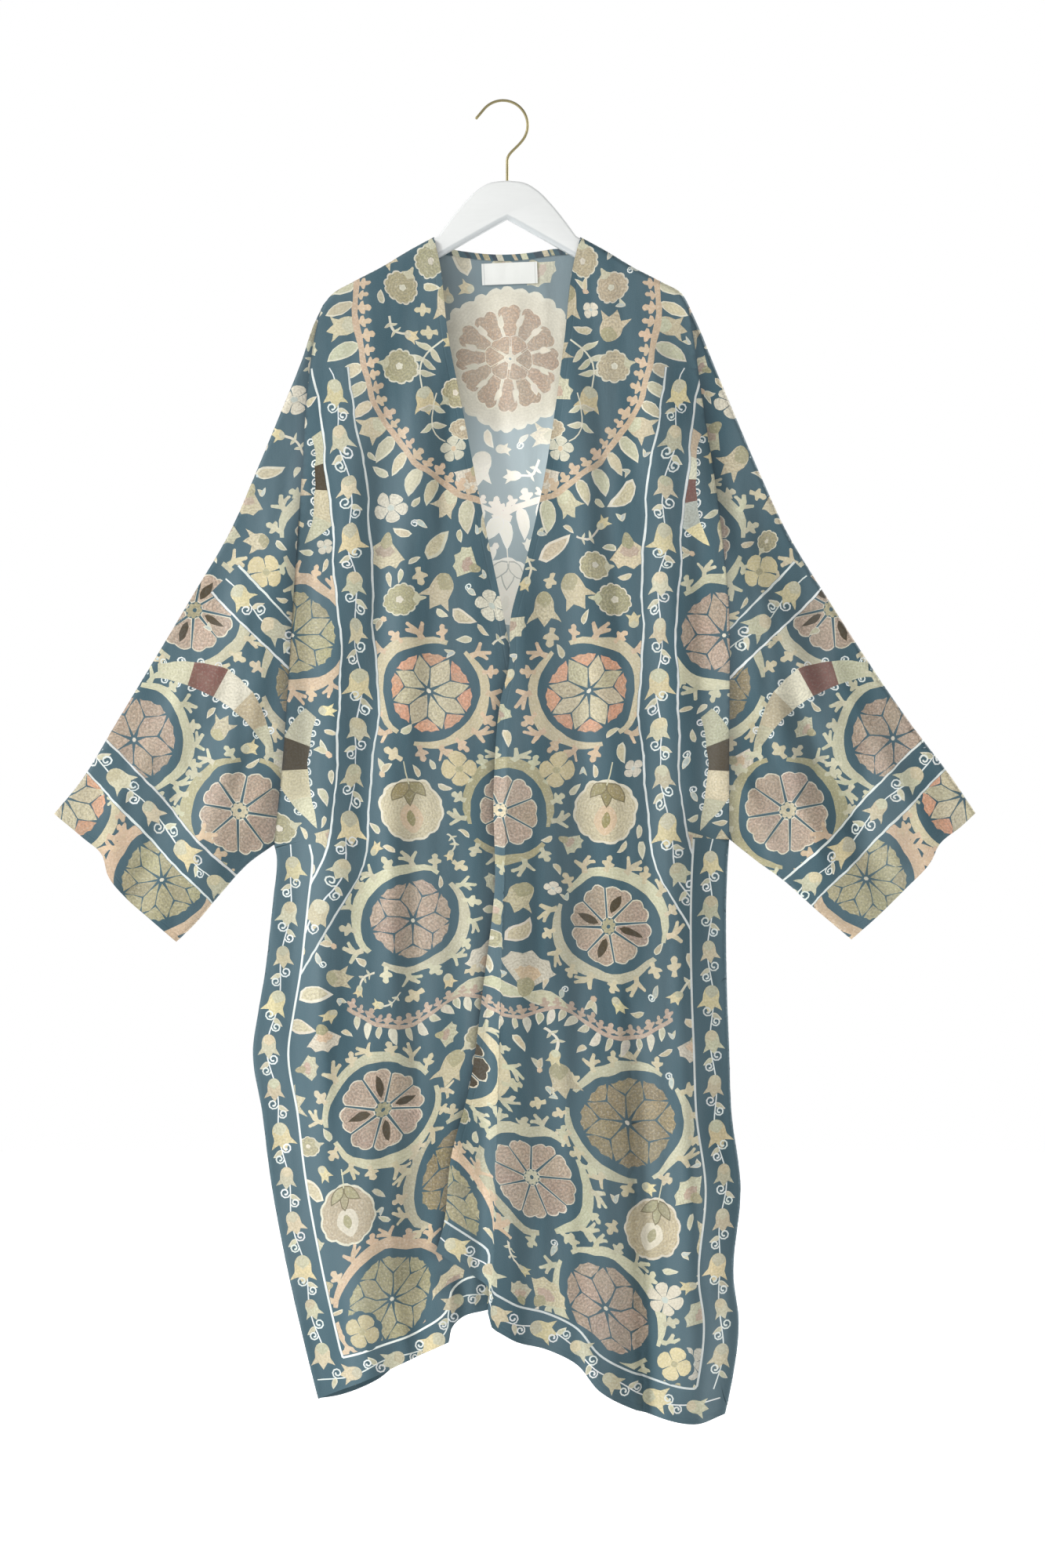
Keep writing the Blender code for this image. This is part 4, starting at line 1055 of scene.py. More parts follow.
def armhole_lines(piece):
    """The armhole seams of a piece."""
    return [smooth_curve(ARMHOLE[side], 80) for side in (SIGN if piece == "back" else [side_of(piece)])]


def inside(points, outline):
    """Which flat points lie inside a closed outline."""
    within = np.zeros(len(points), bool)
    drops = points[:, 1]
    for (x0, y0), (x1, y1) in zip(outline, np.roll(outline, -1, axis=0)):
        level = np.flatnonzero((drops < y0) != (drops < y1))
        within[level] ^= points[level, 0] < x0 + (drops[level] - y0) * (x1 - x0) / (y1 - y0)
    return within


def grid_points(piece, outline, lines):
    """Points that carry the form between the outlines of the print."""
    low, high = outline.min(0), outline.max(0)
    pitch = GRID if np.ptp(outline[:, 1]) > TRIM_REACH else TRIM_GRID
    rows = [np.arange(low[0] + (k % 2) * pitch / 2, high[0], pitch) + 1j * drop
            for k, drop in enumerate(np.arange(low[1], high[1], pitch * 0.866))]
    if piece == "front_right":
        across, drop = np.meshgrid(np.arange(*FINE_ACROSS, FINE_GRID), np.arange(*FINE_DROP, 2 * FINE_GRID))
        rows.append((across + drop % 4 + 1j * drop).ravel())
    grid = as_flat(np.concatenate(rows))
    bounds = [np.vstack([outline, outline[:1]])]
    grid = grid[inside(grid, outline)]
    grid = grid[distance_to(grid, bounds) > 0.2 * pitch]
    bands = []
    for line in lines:
        path = curve_path(np.vstack([line[::6], line[-1:]]), 5.0)
        bands += [path + sideways(path) * away for away in np.outer((1, -1), EDGE_ROWS).ravel()]
    bands = as_flat(np.concatenate(bands))
    bands = bands[inside(bands, outline)]
    return np.vstack([grid, bands[distance_to(bands, bounds) > 0.1]])


def signed_area(outline):
    """Area of an outline, negative if it runs the other way round."""
    ahead = np.roll(outline, -1)
    return np.sum(outline.real * ahead.imag - outline.imag * ahead.real) / 2


def shapes_within(shapes, outline):
    """The shapes that reach into a closed outline."""
    within = inside(as_flat(np.concatenate([s.outline for s in shapes])), outline)
    ends = np.cumsum([len(s.outline) for s in shapes])
    count = sums(within)
    return [s for s, end in zip(shapes, ends) if count[end] > count[end - len(s.outline)]]


def rim_loop(triangles):
    """The numbers of the points round the edge of a sheet, in order."""
    edges = np.concatenate([triangles[:, [0, 1]], triangles[:, [1, 2]], triangles[:, [2, 0]]])
    size = triangles.max() + 1
    keys, backwards = edges[:, 0] * size + edges[:, 1], edges[:, 1] * size + edges[:, 0]
    ahead = dict(edges[~np.isin(keys, backwards)].tolist())
    first = next(iter(ahead))
    loop = [first]
    while ahead[loop[-1]] != first:
        loop.append(ahead[loop[-1]])
    return np.array(loop)


def cut_sheet(piece, shapes, lines, outline):
    """Flat points, triangles, the number of the shape on each triangle, and the shapes, for one sheet."""
    kept = [None] + shapes_within(shapes, outline)
    polygons = [as_complex(outline)] + [s.outline for s in kept[1:]]
    sizes = np.array([signed_area(p) for p in polygons])
    polygons = [p if size > 0 else p[::-1] for p, size in zip(polygons, sizes)]
    starts = sums([len(p) for p in polygons])
    points = np.vstack([as_flat(np.concatenate(polygons)), grid_points(piece, outline, lines)])
    faces = [list(range(a, b)) for a, b in zip(starts[:-1], starts[1:])]
    made = delaunay_2d_cdt([Vector(p) for p in points], [], faces, 0, CUT_TOLERANCE, True)
    flat = np.array([(v.x, v.y) for v in made[0]])
    triangles = np.array([face for face, numbers in zip(made[2], made[5]) if 0 in numbers])
    origins = [numbers for numbers in made[5] if 0 in numbers]
    a, b, c = (flat[triangles[:, k]] for k in range(3))
    areas = np.abs((b - a)[:, 0] * (c - a)[:, 1] - (b - a)[:, 1] * (c - a)[:, 0]) / 2
    covered = np.zeros(len(polygons))
    for numbers, area in zip(origins, areas):
        covered[numbers] += area
    spilt = set(np.flatnonzero(covered[1:] > SPILL * np.abs(sizes[1:]) + SPILL_ROOM) + 1)
    owner = np.array([max(n for n in numbers if n not in spilt) for numbers in origins])
    used, number = np.unique(triangles, return_inverse=True)
    return flat[used], number.reshape(triangles.shape), owner, kept


def unit(vectors):
    """Rows of vectors brought to length 1."""
    return vectors / np.maximum(np.linalg.norm(vectors, axis=1), 1e-9)[:, None]


def outward_normals(flat, piece, facing, lines, inward):
    """Unit normals of the middle surface, level and outwards along the closed edges."""
    distance = distance_to(flat, lines)
    spot = flat + inward * np.where(distance < EDGE_NORMAL, EDGE_NORMAL - distance, 0)[:, None]
    here, by_x, by_y = (place(spot + step, piece, facing, lines)
                        for step in ((0, 0), (NORMAL_STEP, 0), (0, NORMAL_STEP)))
    normal = np.cross(by_x - here, by_y - here)
    normal *= np.sign(normal[:, 1] * facing)[:, None]
    normal[:, [0, 2]] *= (1 + FOLD_SHADE * ease(distance / SHADE_REACH))[:, None]
    normal /= np.linalg.norm(normal, axis=1)[:, None]
    level = np.stack([-inward[:, 0], np.zeros(len(flat)), inward[:, 1]], axis=1)
    share = np.clip(1 - distance / EDGE_NORMAL, 0, 1)[:, None]
    return unit(normal * (1 - share) + level * share)


def inner_shapes(shapes, piece):
    """The shapes that the wrong side shows: all where it is seen, and the larger ones elsewhere."""
    left, right, foot = SEEN_INSIDE.get(piece, (0, 0, 0))
    kept = []
    for s in shapes:
        x, y = s.outline.real, s.outline.imag
        seen = x.max() > left and x.min() < right and y.min() < foot
        if seen or abs(signed_area(s.outline)) > COARSE_SHAPE**2 * 0.5:
            kept.append(s)
    return kept


def skin(piece, facing, shapes, colours, offset, lines, outline, side):
    """One side of a sheet and its rim: offset from the middle surface, and side is 1 for the wrong side."""
    flat, triangles, owner, kept = cut_sheet(piece, shapes, lines, outline)
    loop = rim_loop(triangles)
    centroid = flat[triangles].mean(1)
    pull = np.zeros_like(flat)
    for corner in range(3):
        np.add.at(pull, triangles[:, corner], centroid - flat[triangles[:, corner]])
    normals = outward_normals(flat, piece, facing, lines, unit(pull))
    middle = place(flat, piece, facing, lines)
    tints, echo = np.empty((len(triangles), 3)), np.zeros((len(triangles), 3, 3))
    random = np.random.default_rng(7)
    order = np.argsort(owner, kind="stable")
    for mine in np.split(order, np.flatnonzero(np.diff(owner[order])) + 1):
        s = kept[owner[mine[0]]]
        jitter = 1 + random.normal(0, TINT_JITTER) + random.normal(0, CHANNEL_JITTER, 3)
        if s is None or s.colour == "ground":
            tints[mine] = colours["ground"]
            continue
        tints[mine] = np.clip(colours[s.colour] * jitter, 0, 1)
        if s.lines:
            z = flat[triangles[mine]]
            local = (z[..., 0] + 1j * z[..., 1] - s.centre) / s.axis
            echo[mine] = np.stack([local.real * s.ratio, local.imag, np.full(local.shape, s.lines)], axis=-1)
    corners = middle[triangles]
    turned = np.cross(corners[:, 1] - corners[:, 0], corners[:, 2] - corners[:, 0])
    wrong_way = np.einsum("ij,ij->i", turned, normals[triangles].sum(1)) * (1 - 2 * side) < 0
    if wrong_way.mean() > 0.5:
        triangles, echo = triangles[:, ::-1], echo[:, ::-1]
    away = distance_to(flat, free_edges(piece), 20.0)
    # 'seam' darkens the armhole seam line on the panels, and is painted shadow beside the armhole on the
    # sleeves, where the body's edge overhangs, and under the right front's edge on the left front
    reach = SEAM_LINE if piece in PANELS else SEAM_SHADE
    seam = 1 - distance_to(flat, armhole_lines(piece), SEAM_SHADE) / reach
    if piece == "front_left":
        overlap = smooth_curve(FRONT_EDGE["right"], 160)
        seam = np.maximum(seam, 1 - distance_to(flat, [overlap], OVERLAP_SHADE) / OVERLAP_SHADE)
    points = middle + normals * (offset(flat)[:, None] if callable(offset) else offset)
    return Sheet(points, normals * (1 - 2 * side), triangles, tints, echo, flat, away,
                 np.full(len(flat), side), flat, np.clip(seam, 0, 1)), loop


def merged(sheets):
    """Several sheets as one."""
    starts = sums([len(s.points) for s in sheets])
    sheets = [s._replace(triangles=s.triangles + start) for s, start in zip(sheets, starts)]
    return Sheet(*(np.concatenate(parts) for parts in zip(*sheets)))


def one_sheet(piece, facing, shapes, colours, offsets, uv_rule, outline=None):
    """Outer and inner skins of one sheet, closed along their edges, at offsets from a piece's middle."""
    lines = closed_edges()
    outline = panel_outline(piece) if outline is None else outline
    outer, here = skin(piece, facing, shapes, colours, offsets[0], lines, outline, 0)
    rim = outer.flat[here]
    inner, loop = skin(piece, facing, inner_shapes(shapes, piece), colours, offsets[1], lines, rim, 1)
    n = len(outer.points)
    match = np.array([loop[np.argmin(((inner.flat[loop] - p) ** 2).sum(1))] for p in rim]) + n
    ahead, below_ahead = np.roll(here, -1), np.roll(match, -1)
    rim_faces = np.concatenate([np.stack([ahead, here, match], axis=1),
                                np.stack([ahead, match, below_ahead], axis=1)])
    rim_faces = rim_faces[(rim_faces[:, 1] != rim_faces[:, 2])]
    spare = np.flatnonzero(~np.isin(loop + n, match))
    if len(spare):
        spare_faces = [np.roll(loop, -1)[spare], np.roll(loop, 1)[spare], loop[spare]]
        rim_faces = np.concatenate([rim_faces, np.stack(spare_faces, axis=1) + n])
    first = outer.triangles[np.flatnonzero((outer.triangles == here[0]).any(1))]
    keeps = [f for f in first.tolist() if ahead[0] in f][0]
    if keeps.index(int(ahead[0])) == (keeps.index(int(here[0])) - 1) % 3:
        rim_faces = rim_faces[:, ::-1]
    left, low, scale, gap = uv_rule
    origin = outer.flat.min(0)
    both = merged([s._replace(uv=(s.flat - origin) * scale + np.array([left + gap * k, low]))
                   for k, s in enumerate((outer, inner))])
    return both._replace(
        triangles=np.concatenate([both.triangles, rim_faces]),
        tint=np.concatenate([both.tint, np.tile(colours["ground"], (len(rim_faces), 1))]),
        echo=np.concatenate([both.echo, np.zeros((len(rim_faces), 3, 3))]),
    )


def added(name, data):
    """New object in the scene."""
    obj = bpy.data.objects.new(name, data)
    bpy.context.scene.collection.objects.link(obj)
    return obj


def build_mesh(name, sheets, material, own_normals=True):
    """One object from the sheets of a piece."""
    sheet = merged(sheets)
    triangles, count = sheet.triangles, len(sheet.triangles)
    mesh = bpy.data.meshes.new(name)
    mesh.vertices.add(len(sheet.points))
    mesh.vertices.foreach_set("co", sheet.points.astype(np.float32).ravel())
    mesh.loops.add(count * 3)
    mesh.loops.foreach_set("vertex_index", triangles.astype(np.int32).ravel())
    mesh.polygons.add(count)
    mesh.polygons.foreach_set("loop_start", np.arange(0, count * 3, 3, dtype=np.int32))
    mesh.update(calc_edges=True)
    mesh.polygons.foreach_set("use_smooth", np.ones(count, bool))
    for key, kind, domain, field, values in (
        ("tint", "FLOAT_COLOR", "FACE", "color", np.hstack([sheet.tint, np.ones((count, 1))])),
        ("echo", "FLOAT_VECTOR", "CORNER", "vector", sheet.echo),
        ("cloth", "FLOAT_VECTOR", "POINT", "vector", np.hstack([sheet.flat, sheet.away[:, None]])),
        ("wrong", "FLOAT", "POINT", "value", sheet.wrong),
        ("seam", "FLOAT", "POINT", "value", sheet.seam),
    ):
        mesh.attributes.new(key, kind, domain).data.foreach_set(field, values.astype(np.float32).ravel())
    uv = mesh.uv_layers.new(name="OFBake")
    uv.uv.foreach_set("vector", sheet.uv[triangles.ravel()].astype(np.float32).ravel())
    if own_normals:
        mesh.normals_split_custom_set_from_vertices(sheet.normals.astype(np.float32))
    else:
        mesh.set_sharp_from_angle(angle=SHARP_ANGLE)
    mesh.materials.append(material)
    return added(name, mesh)


# Materials
class Wire:
    """Output socket of a shader node; sums on it add Math nodes."""

    def __init__(self, tree, socket=None):
        self.tree, self.socket = tree, socket

    def made(self, kind, inputs, output=0, **settings):
        """Output of a new node of any kind, with values or wires on its inputs."""
        node = self.tree.nodes.new(kind)
        for name, value in settings.items():
            setattr(node, name, value)
        for key, value in inputs.items():
            if isinstance(value, Wire):
                self.tree.links.new(value.socket, node.inputs[key])
            else:
                node.inputs[key].default_value = value
        return Wire(self.tree, node.outputs[output])

    def maths(self, operation, *values):
        return self.made("ShaderNodeMath", dict(enumerate(values)), operation=operation)

    def __add__(self, other):
        return self.maths("ADD", self, other)

    def __sub__(self, other):
        return self.maths("SUBTRACT", self, other)

    def __rsub__(self, other):
        return self.maths("SUBTRACT", other, self)

    def __mul__(self, other):
        return self.maths("MULTIPLY", self, other)

    __radd__ = __add__
    __rmul__ = __mul__

    def wave(self):
        """Sine of the value."""
        return self.maths("SINE", self)

    def between(self, low, high):
        """0 at low and 1 at high, smooth between."""
        return self.made("ShaderNodeMapRange", {0: self, 1: low, 2: high, 3: 0.0, 4: 1.0},
                         interpolation_type="SMOOTHSTEP")

    def axis(self, number):
        """One part of a vector."""
        return self.made("ShaderNodeSeparateXYZ", {0: self}, number)

    def scaled(self, x, y, z):
        """A vector times another."""
        return self.made("ShaderNodeVectorMath", {0: self, 1: (x, y, z)}, operation="MULTIPLY")

    def noise(self, scale, detail=2.0):
        """Noise at the vector, from 0 to 1."""
        return self.made("ShaderNodeTexNoise", {"Vector": self, "Scale": scale, "Detail": detail})

    def blend(self, low, high):
        """One colour with this share of another."""
        return self.made("ShaderNodeMix", {0: self, 6: low, 7: high}, 2, data_type="RGBA")

    def mixed(self, share, other):
        """This colour, with a share of another."""
        return self.made("ShaderNodeMix", {0: share, 6: self, 7: other}, 2, data_type="RGBA")

    def bump(self, strength, distance):
        """Normal from this height."""
        inputs = {"Strength": strength, "Distance": distance, "Height": self}
        return self.made("ShaderNodeBump", inputs, "Normal")

    def attribute(self, name, output="Vector"):
        """A mesh attribute."""
        return self.made("ShaderNodeAttribute", {}, output, attribute_name=name)

    def position(self):
        """Where the surface lies."""
        return self.made("ShaderNodeNewGeometry", {}, "Position")


def new_material(name, roughness, **constants):
    """Material with constants on its shader, the shader, and a start for its nodes."""
    material = bpy.data.materials.new(name)
    material.use_nodes = True
    shader = material.node_tree.nodes["Principled BSDF"]
    for key, value in dict(constants, Roughness=roughness).items():
        shader.inputs[key.replace("_", " ")].default_value = value
    return material, shader, Wire(material.node_tree)


def feed(shader, name, wire):
    """Links a wire to an input of a shader."""
    wire.tree.links.new(wire.socket, shader.inputs[name])


STITCH_PITCH = 3.3
HEM_WIDTH = 7.0
# Drops over which the painted light on the wrong side grows, and over which it gives way to painted shade
# towards the hem
GLOW_FROM, GLOW_TO = 190.0, 420.0
SHADE_FROM, SHADE_TO = 620.0, 900.0
INK_SHADOW, INK_LIGHT = (0.07, 0.065, 0.05, 1), (0.80, 0.77, 0.70, 1)
# Darker patches within the motifs, and the grey of the painted sheen streaks and random mottling
PATCH, SHEEN_AND_MOTTLE_GREY = (0.30, 0.27, 0.19, 1), (0.5, 0.56, 0.58, 1)
# Painted light on the wrong side where it is lit through; the dark of the armhole seam line and of the
# painted shadow beside it
LIT_THROUGH, SEAM_LINE_AND_SHADOW = (0.98, 0.95, 0.89, 1), (0.012, 0.02, 0.028, 1)
# Painted shade on the board's eased edges, and the grey of the label's weave
EDGE_SHADE_GREY, LABEL_GREY = (0.36, 0.39, 0.40, 1), (0.5, 0.5, 0.47, 1)


def cloth_material(colours):
    """Printed crepe: stitch lines and specks on the motifs, fine grain and painted sheen streaks; a wrong
    side painted pale and glowing where lit through, with painted shade towards the hem; dark armhole seams
    with painted shadow beside them.
    """
    material, shader, nodes = new_material("printed_crepe", 0.62, Sheen_Weight=0.05, Sheen_Roughness=0.5,
                                           Specular_IOR_Level=0.2, Emission_Strength=1.0)
    tint, echo = nodes.attribute("tint", "Color"), nodes.attribute("echo")
    cloth, wrong = nodes.attribute("cloth"), nodes.attribute("wrong", "Fac")
    flat = cloth.scaled(1, 1, 0)
    motif = tint.made("ShaderNodeSeparateColor", {0: tint}).between(0.09, 0.2)
    ring = echo.made("ShaderNodeVectorMath", {0: echo.scaled(1, 1, 0)}, "Value", operation="LENGTH")
    wobble = flat.noise(0.12, 1.0) * 5.0 + flat.noise(0.5, 1.0) * 1.2
    rings = ((ring + wobble) * (tau / STITCH_PITCH)).wave()
    specks = flat.noise(0.4, 3.0).between(0.44, 0.58)
    stitches = (rings.between(-0.2, 1.0) * 0.6 + specks * 0.85) * echo.axis(2)
    colour = tint.mixed(stitches * 0.85, tint.mixed(0.5, INK_SHADOW))
    paler = flat.noise(0.41).between(0.5, 0.7) * motif
    colour = colour.mixed(paler * 0.38, tint.mixed(0.45, INK_LIGHT))
    patches = flat.noise(0.045).between(0.35, 0.68)
    colour = colour.mixed(patches * motif * 0.22, PATCH)
    # Painted sheen: soft paler streaks down the cloth, with a little random mottling
    sheen_streaks_and_mottle = flat.scaled(0.02, 0.004, 1).noise(1.0, 3.0).between(0.3, 0.7) * 0.06 + flat.noise(0.9) * 0.05
    colour = colour.mixed(sheen_streaks_and_mottle, SHEEN_AND_MOTTLE_GREY)
    # Wrong side: painted light where the crepe is lit through from behind, growing between the glow drops,
    # and painted shade that takes it away towards the hem
    drop = cloth.axis(1)
    painted_light_above_hem = drop.between(SHADE_TO, SHADE_FROM)
    lit = (1 - motif) * (drop.between(GLOW_FROM, GLOW_TO) * 0.28 + 0.2) * painted_light_above_hem
    inner = colour.mixed(lit, (*colours["inside"], 1))
    lit = motif * (drop.between(GLOW_TO - 90, GLOW_TO) * 0.55 + 0.14) * painted_light_above_hem
    inner = inner.mixed(lit, LIT_THROUGH)
    # Painted glow: the wrong side gives off light as if lit through from behind
    through = wrong * painted_light_above_hem * (drop.between(GLOW_FROM, GLOW_TO + 60) * 0.26 + 0.04)
    feed(shader, "Emission Color", through.blend((0, 0, 0, 1), inner))
    # Dark armhole seam line, with painted shadow beside it on the sleeves and under the right front's edge
    seam = nodes.attribute("seam", "Fac")
    feed(shader, "Base Color", colour.mixed(wrong, inner).mixed(seam * seam * 0.5, SEAM_LINE_AND_SHADOW))
    off = cloth.axis(2) - HEM_WIDTH
    hem = off.maths("ABSOLUTE", off).between(1.3, 0.2)
    crepe = flat.scaled(1.0, 0.45, 1).noise(1.3, 3.0) * 0.16 + flat.scaled(0.1, 0.03, 1).noise(1.0) * 0.7
    feed(shader, "Normal", (crepe + stitches * 0.12 - hem * 0.22).bump(0.55, 0.0011))
    return material


def two_tone(colour, share, darker):
    """Colour that turns darker by a share."""
    return share.blend((*colour, 1), (*[c * darker for c in colour], 1))


def wood_material(colour):
    """Satin white paint with painted shade on its eased edges, most along the underside, and faint brush
    marks.
    """
    material, shader, nodes = new_material("white_paint", 0.38, Specular_IOR_Level=0.5)
    streaks = nodes.position().scaled(40, 40, 400).noise(1.0, 3.0)
    paint = two_tone(colour, streaks.between(0.3, 0.8), 0.98)
    # Painted shade on the eased edges
    feed(shader, "Base Color", paint.mixed(nodes.attribute("edge", "Fac") * 0.7, EDGE_SHADE_GREY))
    feed(shader, "Roughness", streaks * 0.12 + 0.3)
    return material


def wire_material(colour):
    """Brass wire, darkened unevenly."""
    material, shader, nodes = new_material("brass_wire", 0.5, Metallic=0.65)
    marks = nodes.position().scaled(45, 45, 45).noise(1.0, 1.0)
    feed(shader, "Base Color", two_tone(colour, marks.between(0.4, 0.7), 0.72))
    feed(shader, "Roughness", marks * 0.2 + 0.42)
    return material


def label_material():
    """Blank woven satin label with its turned ends."""
    material, shader, nodes = new_material("label_weave", 0.45, Sheen_Weight=0.1)
    cloth = nodes.attribute("cloth")
    weave = (cloth.axis(0) * (tau / 0.9)).wave() * (cloth.axis(1) * (tau / 0.7)).wave()
    tint = nodes.attribute("tint", "Color")
    feed(shader, "Base Color", tint.mixed(weave.between(0.2, 1.0) * 0.12, LABEL_GREY))
    feed(shader, "Normal", weave.bump(0.25, 0.0003))
    return material


# Print colours; 'inside' is the painted light on the wrong side where it is lit through
COLOURS = {
    "ground": "37535d", "line": "d5dbd8", "cream": "d0cab8", "tan": "b5a789", "sand": "c2b798",
    "leaf": "bebb9f", "leaf_edge": "cdc8b4", "olive": "8f8456", "bronze": "6b6145", "umber": "3d2f12",
    "peach": "c6ad90", "coral": "cf9878", "rose": "b09a87", "maroon": "673a30", "moss": "a09a76",
    "yolk": "cfc296", "mist": "b4bdb6", "pale": "cdc6b2", "bark": "8f7f5a", "clay": "aa8866",
    "inside": "dde9eb", "navy": "2b3c49",
}
EXPOSURE = 0.88


def linear(name):
    """Scene colour of a named screen colour, held down by the light that falls on it."""
    parts = np.array([int(COLOURS[name][i:i + 2], 16) for i in (0, 2, 4)]) / 255
    return np.where(parts <= 0.04045, parts / 12.92, ((parts + 0.055) / 1.055) ** 2.4) * EXPOSURE


def print_colours(look):
    """All colours of the print by name."""
    colours = {name: linear(name) for name in COLOURS}
    return dict(colours, ground=np.array(look.ground[:]), line=np.array(look.line[:]))


def dress(obj, node):
    """Puts a piece in the place of its CAD node."""
    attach(obj, "root")
    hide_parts(node)


def length(name, value, text):
    return bpy.props.FloatProperty(name=name, description=text, default=value, min=0.0, unit="LENGTH",
                                   precision=4)


def power(name, value, text):
    return bpy.props.FloatProperty(name=name, description=text, default=value, min=0.0, unit="POWER")


def colour(name, value, text):
    return bpy.props.FloatVectorProperty(name=name, description=text, default=tuple(value), size=3, min=0.0,
                                         max=1.0, subtype="COLOR")


class ClothLook(bpy.types.PropertyGroup):
    """Thickness and main colours of the printed cloth and its trims."""
    thickness: length("Crepe", 0.0007, "Thickness of the crepe, its grain included")
    trim: length("Trim", 0.0009, "Thickness of the neck strip and the label")
    strip_width: length("Strip", 0.007, "Width of the strip that finishes the back neckline")
    label_width: length("Label width", 0.062, "Width of the blank label")
    label_height: length("Label height", 0.024, "Height of the blank label")
    ground: colour("Ground", linear("ground"), "Ground colour of the print")
    line: colour("Lines", linear("line"), "Colour of the thin lines and curls")
    label: colour("Label", (0.66, 0.67, 0.64), "Colour of the blank label")


class HangerLook(bpy.types.PropertyGroup):
    """Sizes and colours of the hanger."""
    thickness: length("Board", 0.012, "Thickness of the wooden board")
    wire_width: length("Wire", 0.003, "Thickness of the hook's wire")
    paint: colour("Paint", (0.62, 0.63, 0.62), "Paint on the wooden board")
    wire: colour("Brass", (0.245, 0.212, 0.108), "Metal of the hook")


class StudioLook(bpy.types.PropertyGroup):
    """Camera and light of the studio."""
    distance: length("Camera distance", 4.2, "Distance of the camera from the front of the kimono")
    view_height: length("Picture height", 1.74, "Height that the picture shows at the kimono")
    floor: colour("Floor", (0.8, 0.8, 0.8), "Colour of the floor")
    key: power("Key light", 430.0, "Power of the soft light from the left, and of the one behind")
    overhead: power("Overhead light", 40.0, "Power of the light above")


# Fields for the cut of a piece, in metres: a little fuller than it hangs, and all round on a sleeve
Cut = namedtuple("Cut", "width length area")
STRIP_SPAN = (0.09, 0.91)
STRIP_COLOURS = ("tan", "navy", "leaf", "navy", "sand", "moss", "navy", "cream")
TRIM_START = 0.6
LABEL_TILT, LABEL_CENTRE, LABEL_DROP = radians(2.3), 7.0, BACK_NECK[4][1] + 8.9
LABEL_CURL = 1.6

# Bake map: margin, share of it that a sheet may take up, and the millimetres laid over its height
UV_MARGIN, UV_HALF, UV_ROW = 0.005, 0.49, 0.5
BAKE_SPAN, SLEEVE_SPAN, STRIP_BAKE, LABEL_BAKE = 1350.0, 720, 150, 70


def strip_outline(width):
    """Flat outline of the strip that hangs from the back neckline."""
    top = smooth_curve(BACK_NECK, 64, *STRIP_SPAN)
    return np.vstack([top, top[::-1] + [0, width]])


def strip_shapes():
    """The same print, cut on the bias into slanting bits."""
    parts = []
    for k, across in enumerate(np.arange(-78, 84, 9.6)):
        slant = 15 + 4 * sin(k * 2.4)
        path = across + 2.4 * sin(k * 1.7) + slant * np.linspace(0, 1, 16) + 1j * np.linspace(150, 178, 16)
        hue = STRIP_COLOURS[k % len(STRIP_COLOURS)]
        parts.append(shape(stroke(path, 5.6 + 2.4 * sin(k * 1.3)), hue, 0.4, path[8]))
    return parts


def label_outline(width, height):
    """Flat outline of the label, which hangs a little askew."""
    u = np.concatenate([np.linspace(-0.5, 0.5, 26)[:-1], np.full(10, 0.5), np.linspace(0.5, -0.5, 26)[:-1],
                        np.full(10, -0.5)])
    v = np.concatenate([np.zeros(25), np.linspace(0, 1, 11)[:-1], np.ones(25), np.linspace(1, 0, 11)[:-1]])
    x = LABEL_CENTRE + u * width * cos(LABEL_TILT) + v * height * sin(LABEL_TILT)
    return np.stack([x, LABEL_DROP - u * width * sin(LABEL_TILT) + v * height * cos(LABEL_TILT)], axis=1)


def build_neck(look):
    """Strip and label inside the back neckline."""
    colours = print_colours(look)
    near, far = -TRIM_START, -TRIM_START - look.trim / MM
    strip = one_sheet("back", 1, strip_shapes(), colours, (near * MM, far * MM),
                      (UV_MARGIN, UV_MARGIN, UV_HALF / STRIP_BAKE, UV_ROW),
                      strip_outline(look.strip_width / MM))
    strip = strip._replace(wrong=strip.wrong * 0)
    strip = build_mesh("neck_strip_cloth", [strip], cloth_material(colours), False)
    dress(strip, "neck_strip")
    width, height = look.label_width / MM, look.label_height / MM
    tilt = np.exp(-1j * LABEL_TILT)

    def lift(flat):
        """The free lower edge stands off the cloth, most of all on the left."""
        spot = (flat[:, 0] - LABEL_CENTRE + 1j * (flat[:, 1] - LABEL_DROP)) * np.exp(1j * LABEL_TILT)
        return LABEL_CURL * (spot.imag / height) ** 3 * (0.6 - spot.real / width)

    ends = []
    for u in (-0.5, 0.5):
        spot = LABEL_CENTRE + 1j * LABEL_DROP + tilt * (u * (width - 5) + 1j * height / 2)
        ends.append(shape(stroke(spot + 1j * tilt * np.linspace(-0.5, 0.5, 5) * height, 0.7), "stitch"))
    tints = {"ground": np.array(look.label), "stitch": np.array(look.label) * 0.72}
    offsets = [lambda flat, at=at: (at - lift(flat)) * MM for at in (near, far)]
    label = one_sheet("back", 1, ends, tints, offsets, (UV_MARGIN, UV_MARGIN, UV_HALF / LABEL_BAKE, UV_ROW),
                      label_outline(width, height))
    label = build_mesh("neck_label_cloth", [label], label_material(), False)
    dress(label, "neck_label")


def build_panels(look):
    """Back and both fronts."""
    colours = print_colours(look)
    material = cloth_material(colours)
    half = look.thickness / 2
    for piece in PANELS:
        back = piece == "back"
        shapes = back_print() if back else front_print(piece)
        offsets = (half, -half if back else -half * FRONT_INNER)
        sheet = one_sheet(piece, 1 if back else -1, shapes, colours, offsets,
                          (UV_MARGIN, UV_MARGIN, 1 / BAKE_SPAN, UV_ROW))
        obj = build_mesh(piece + "_cloth", [sheet], material)
        dress(obj, piece)


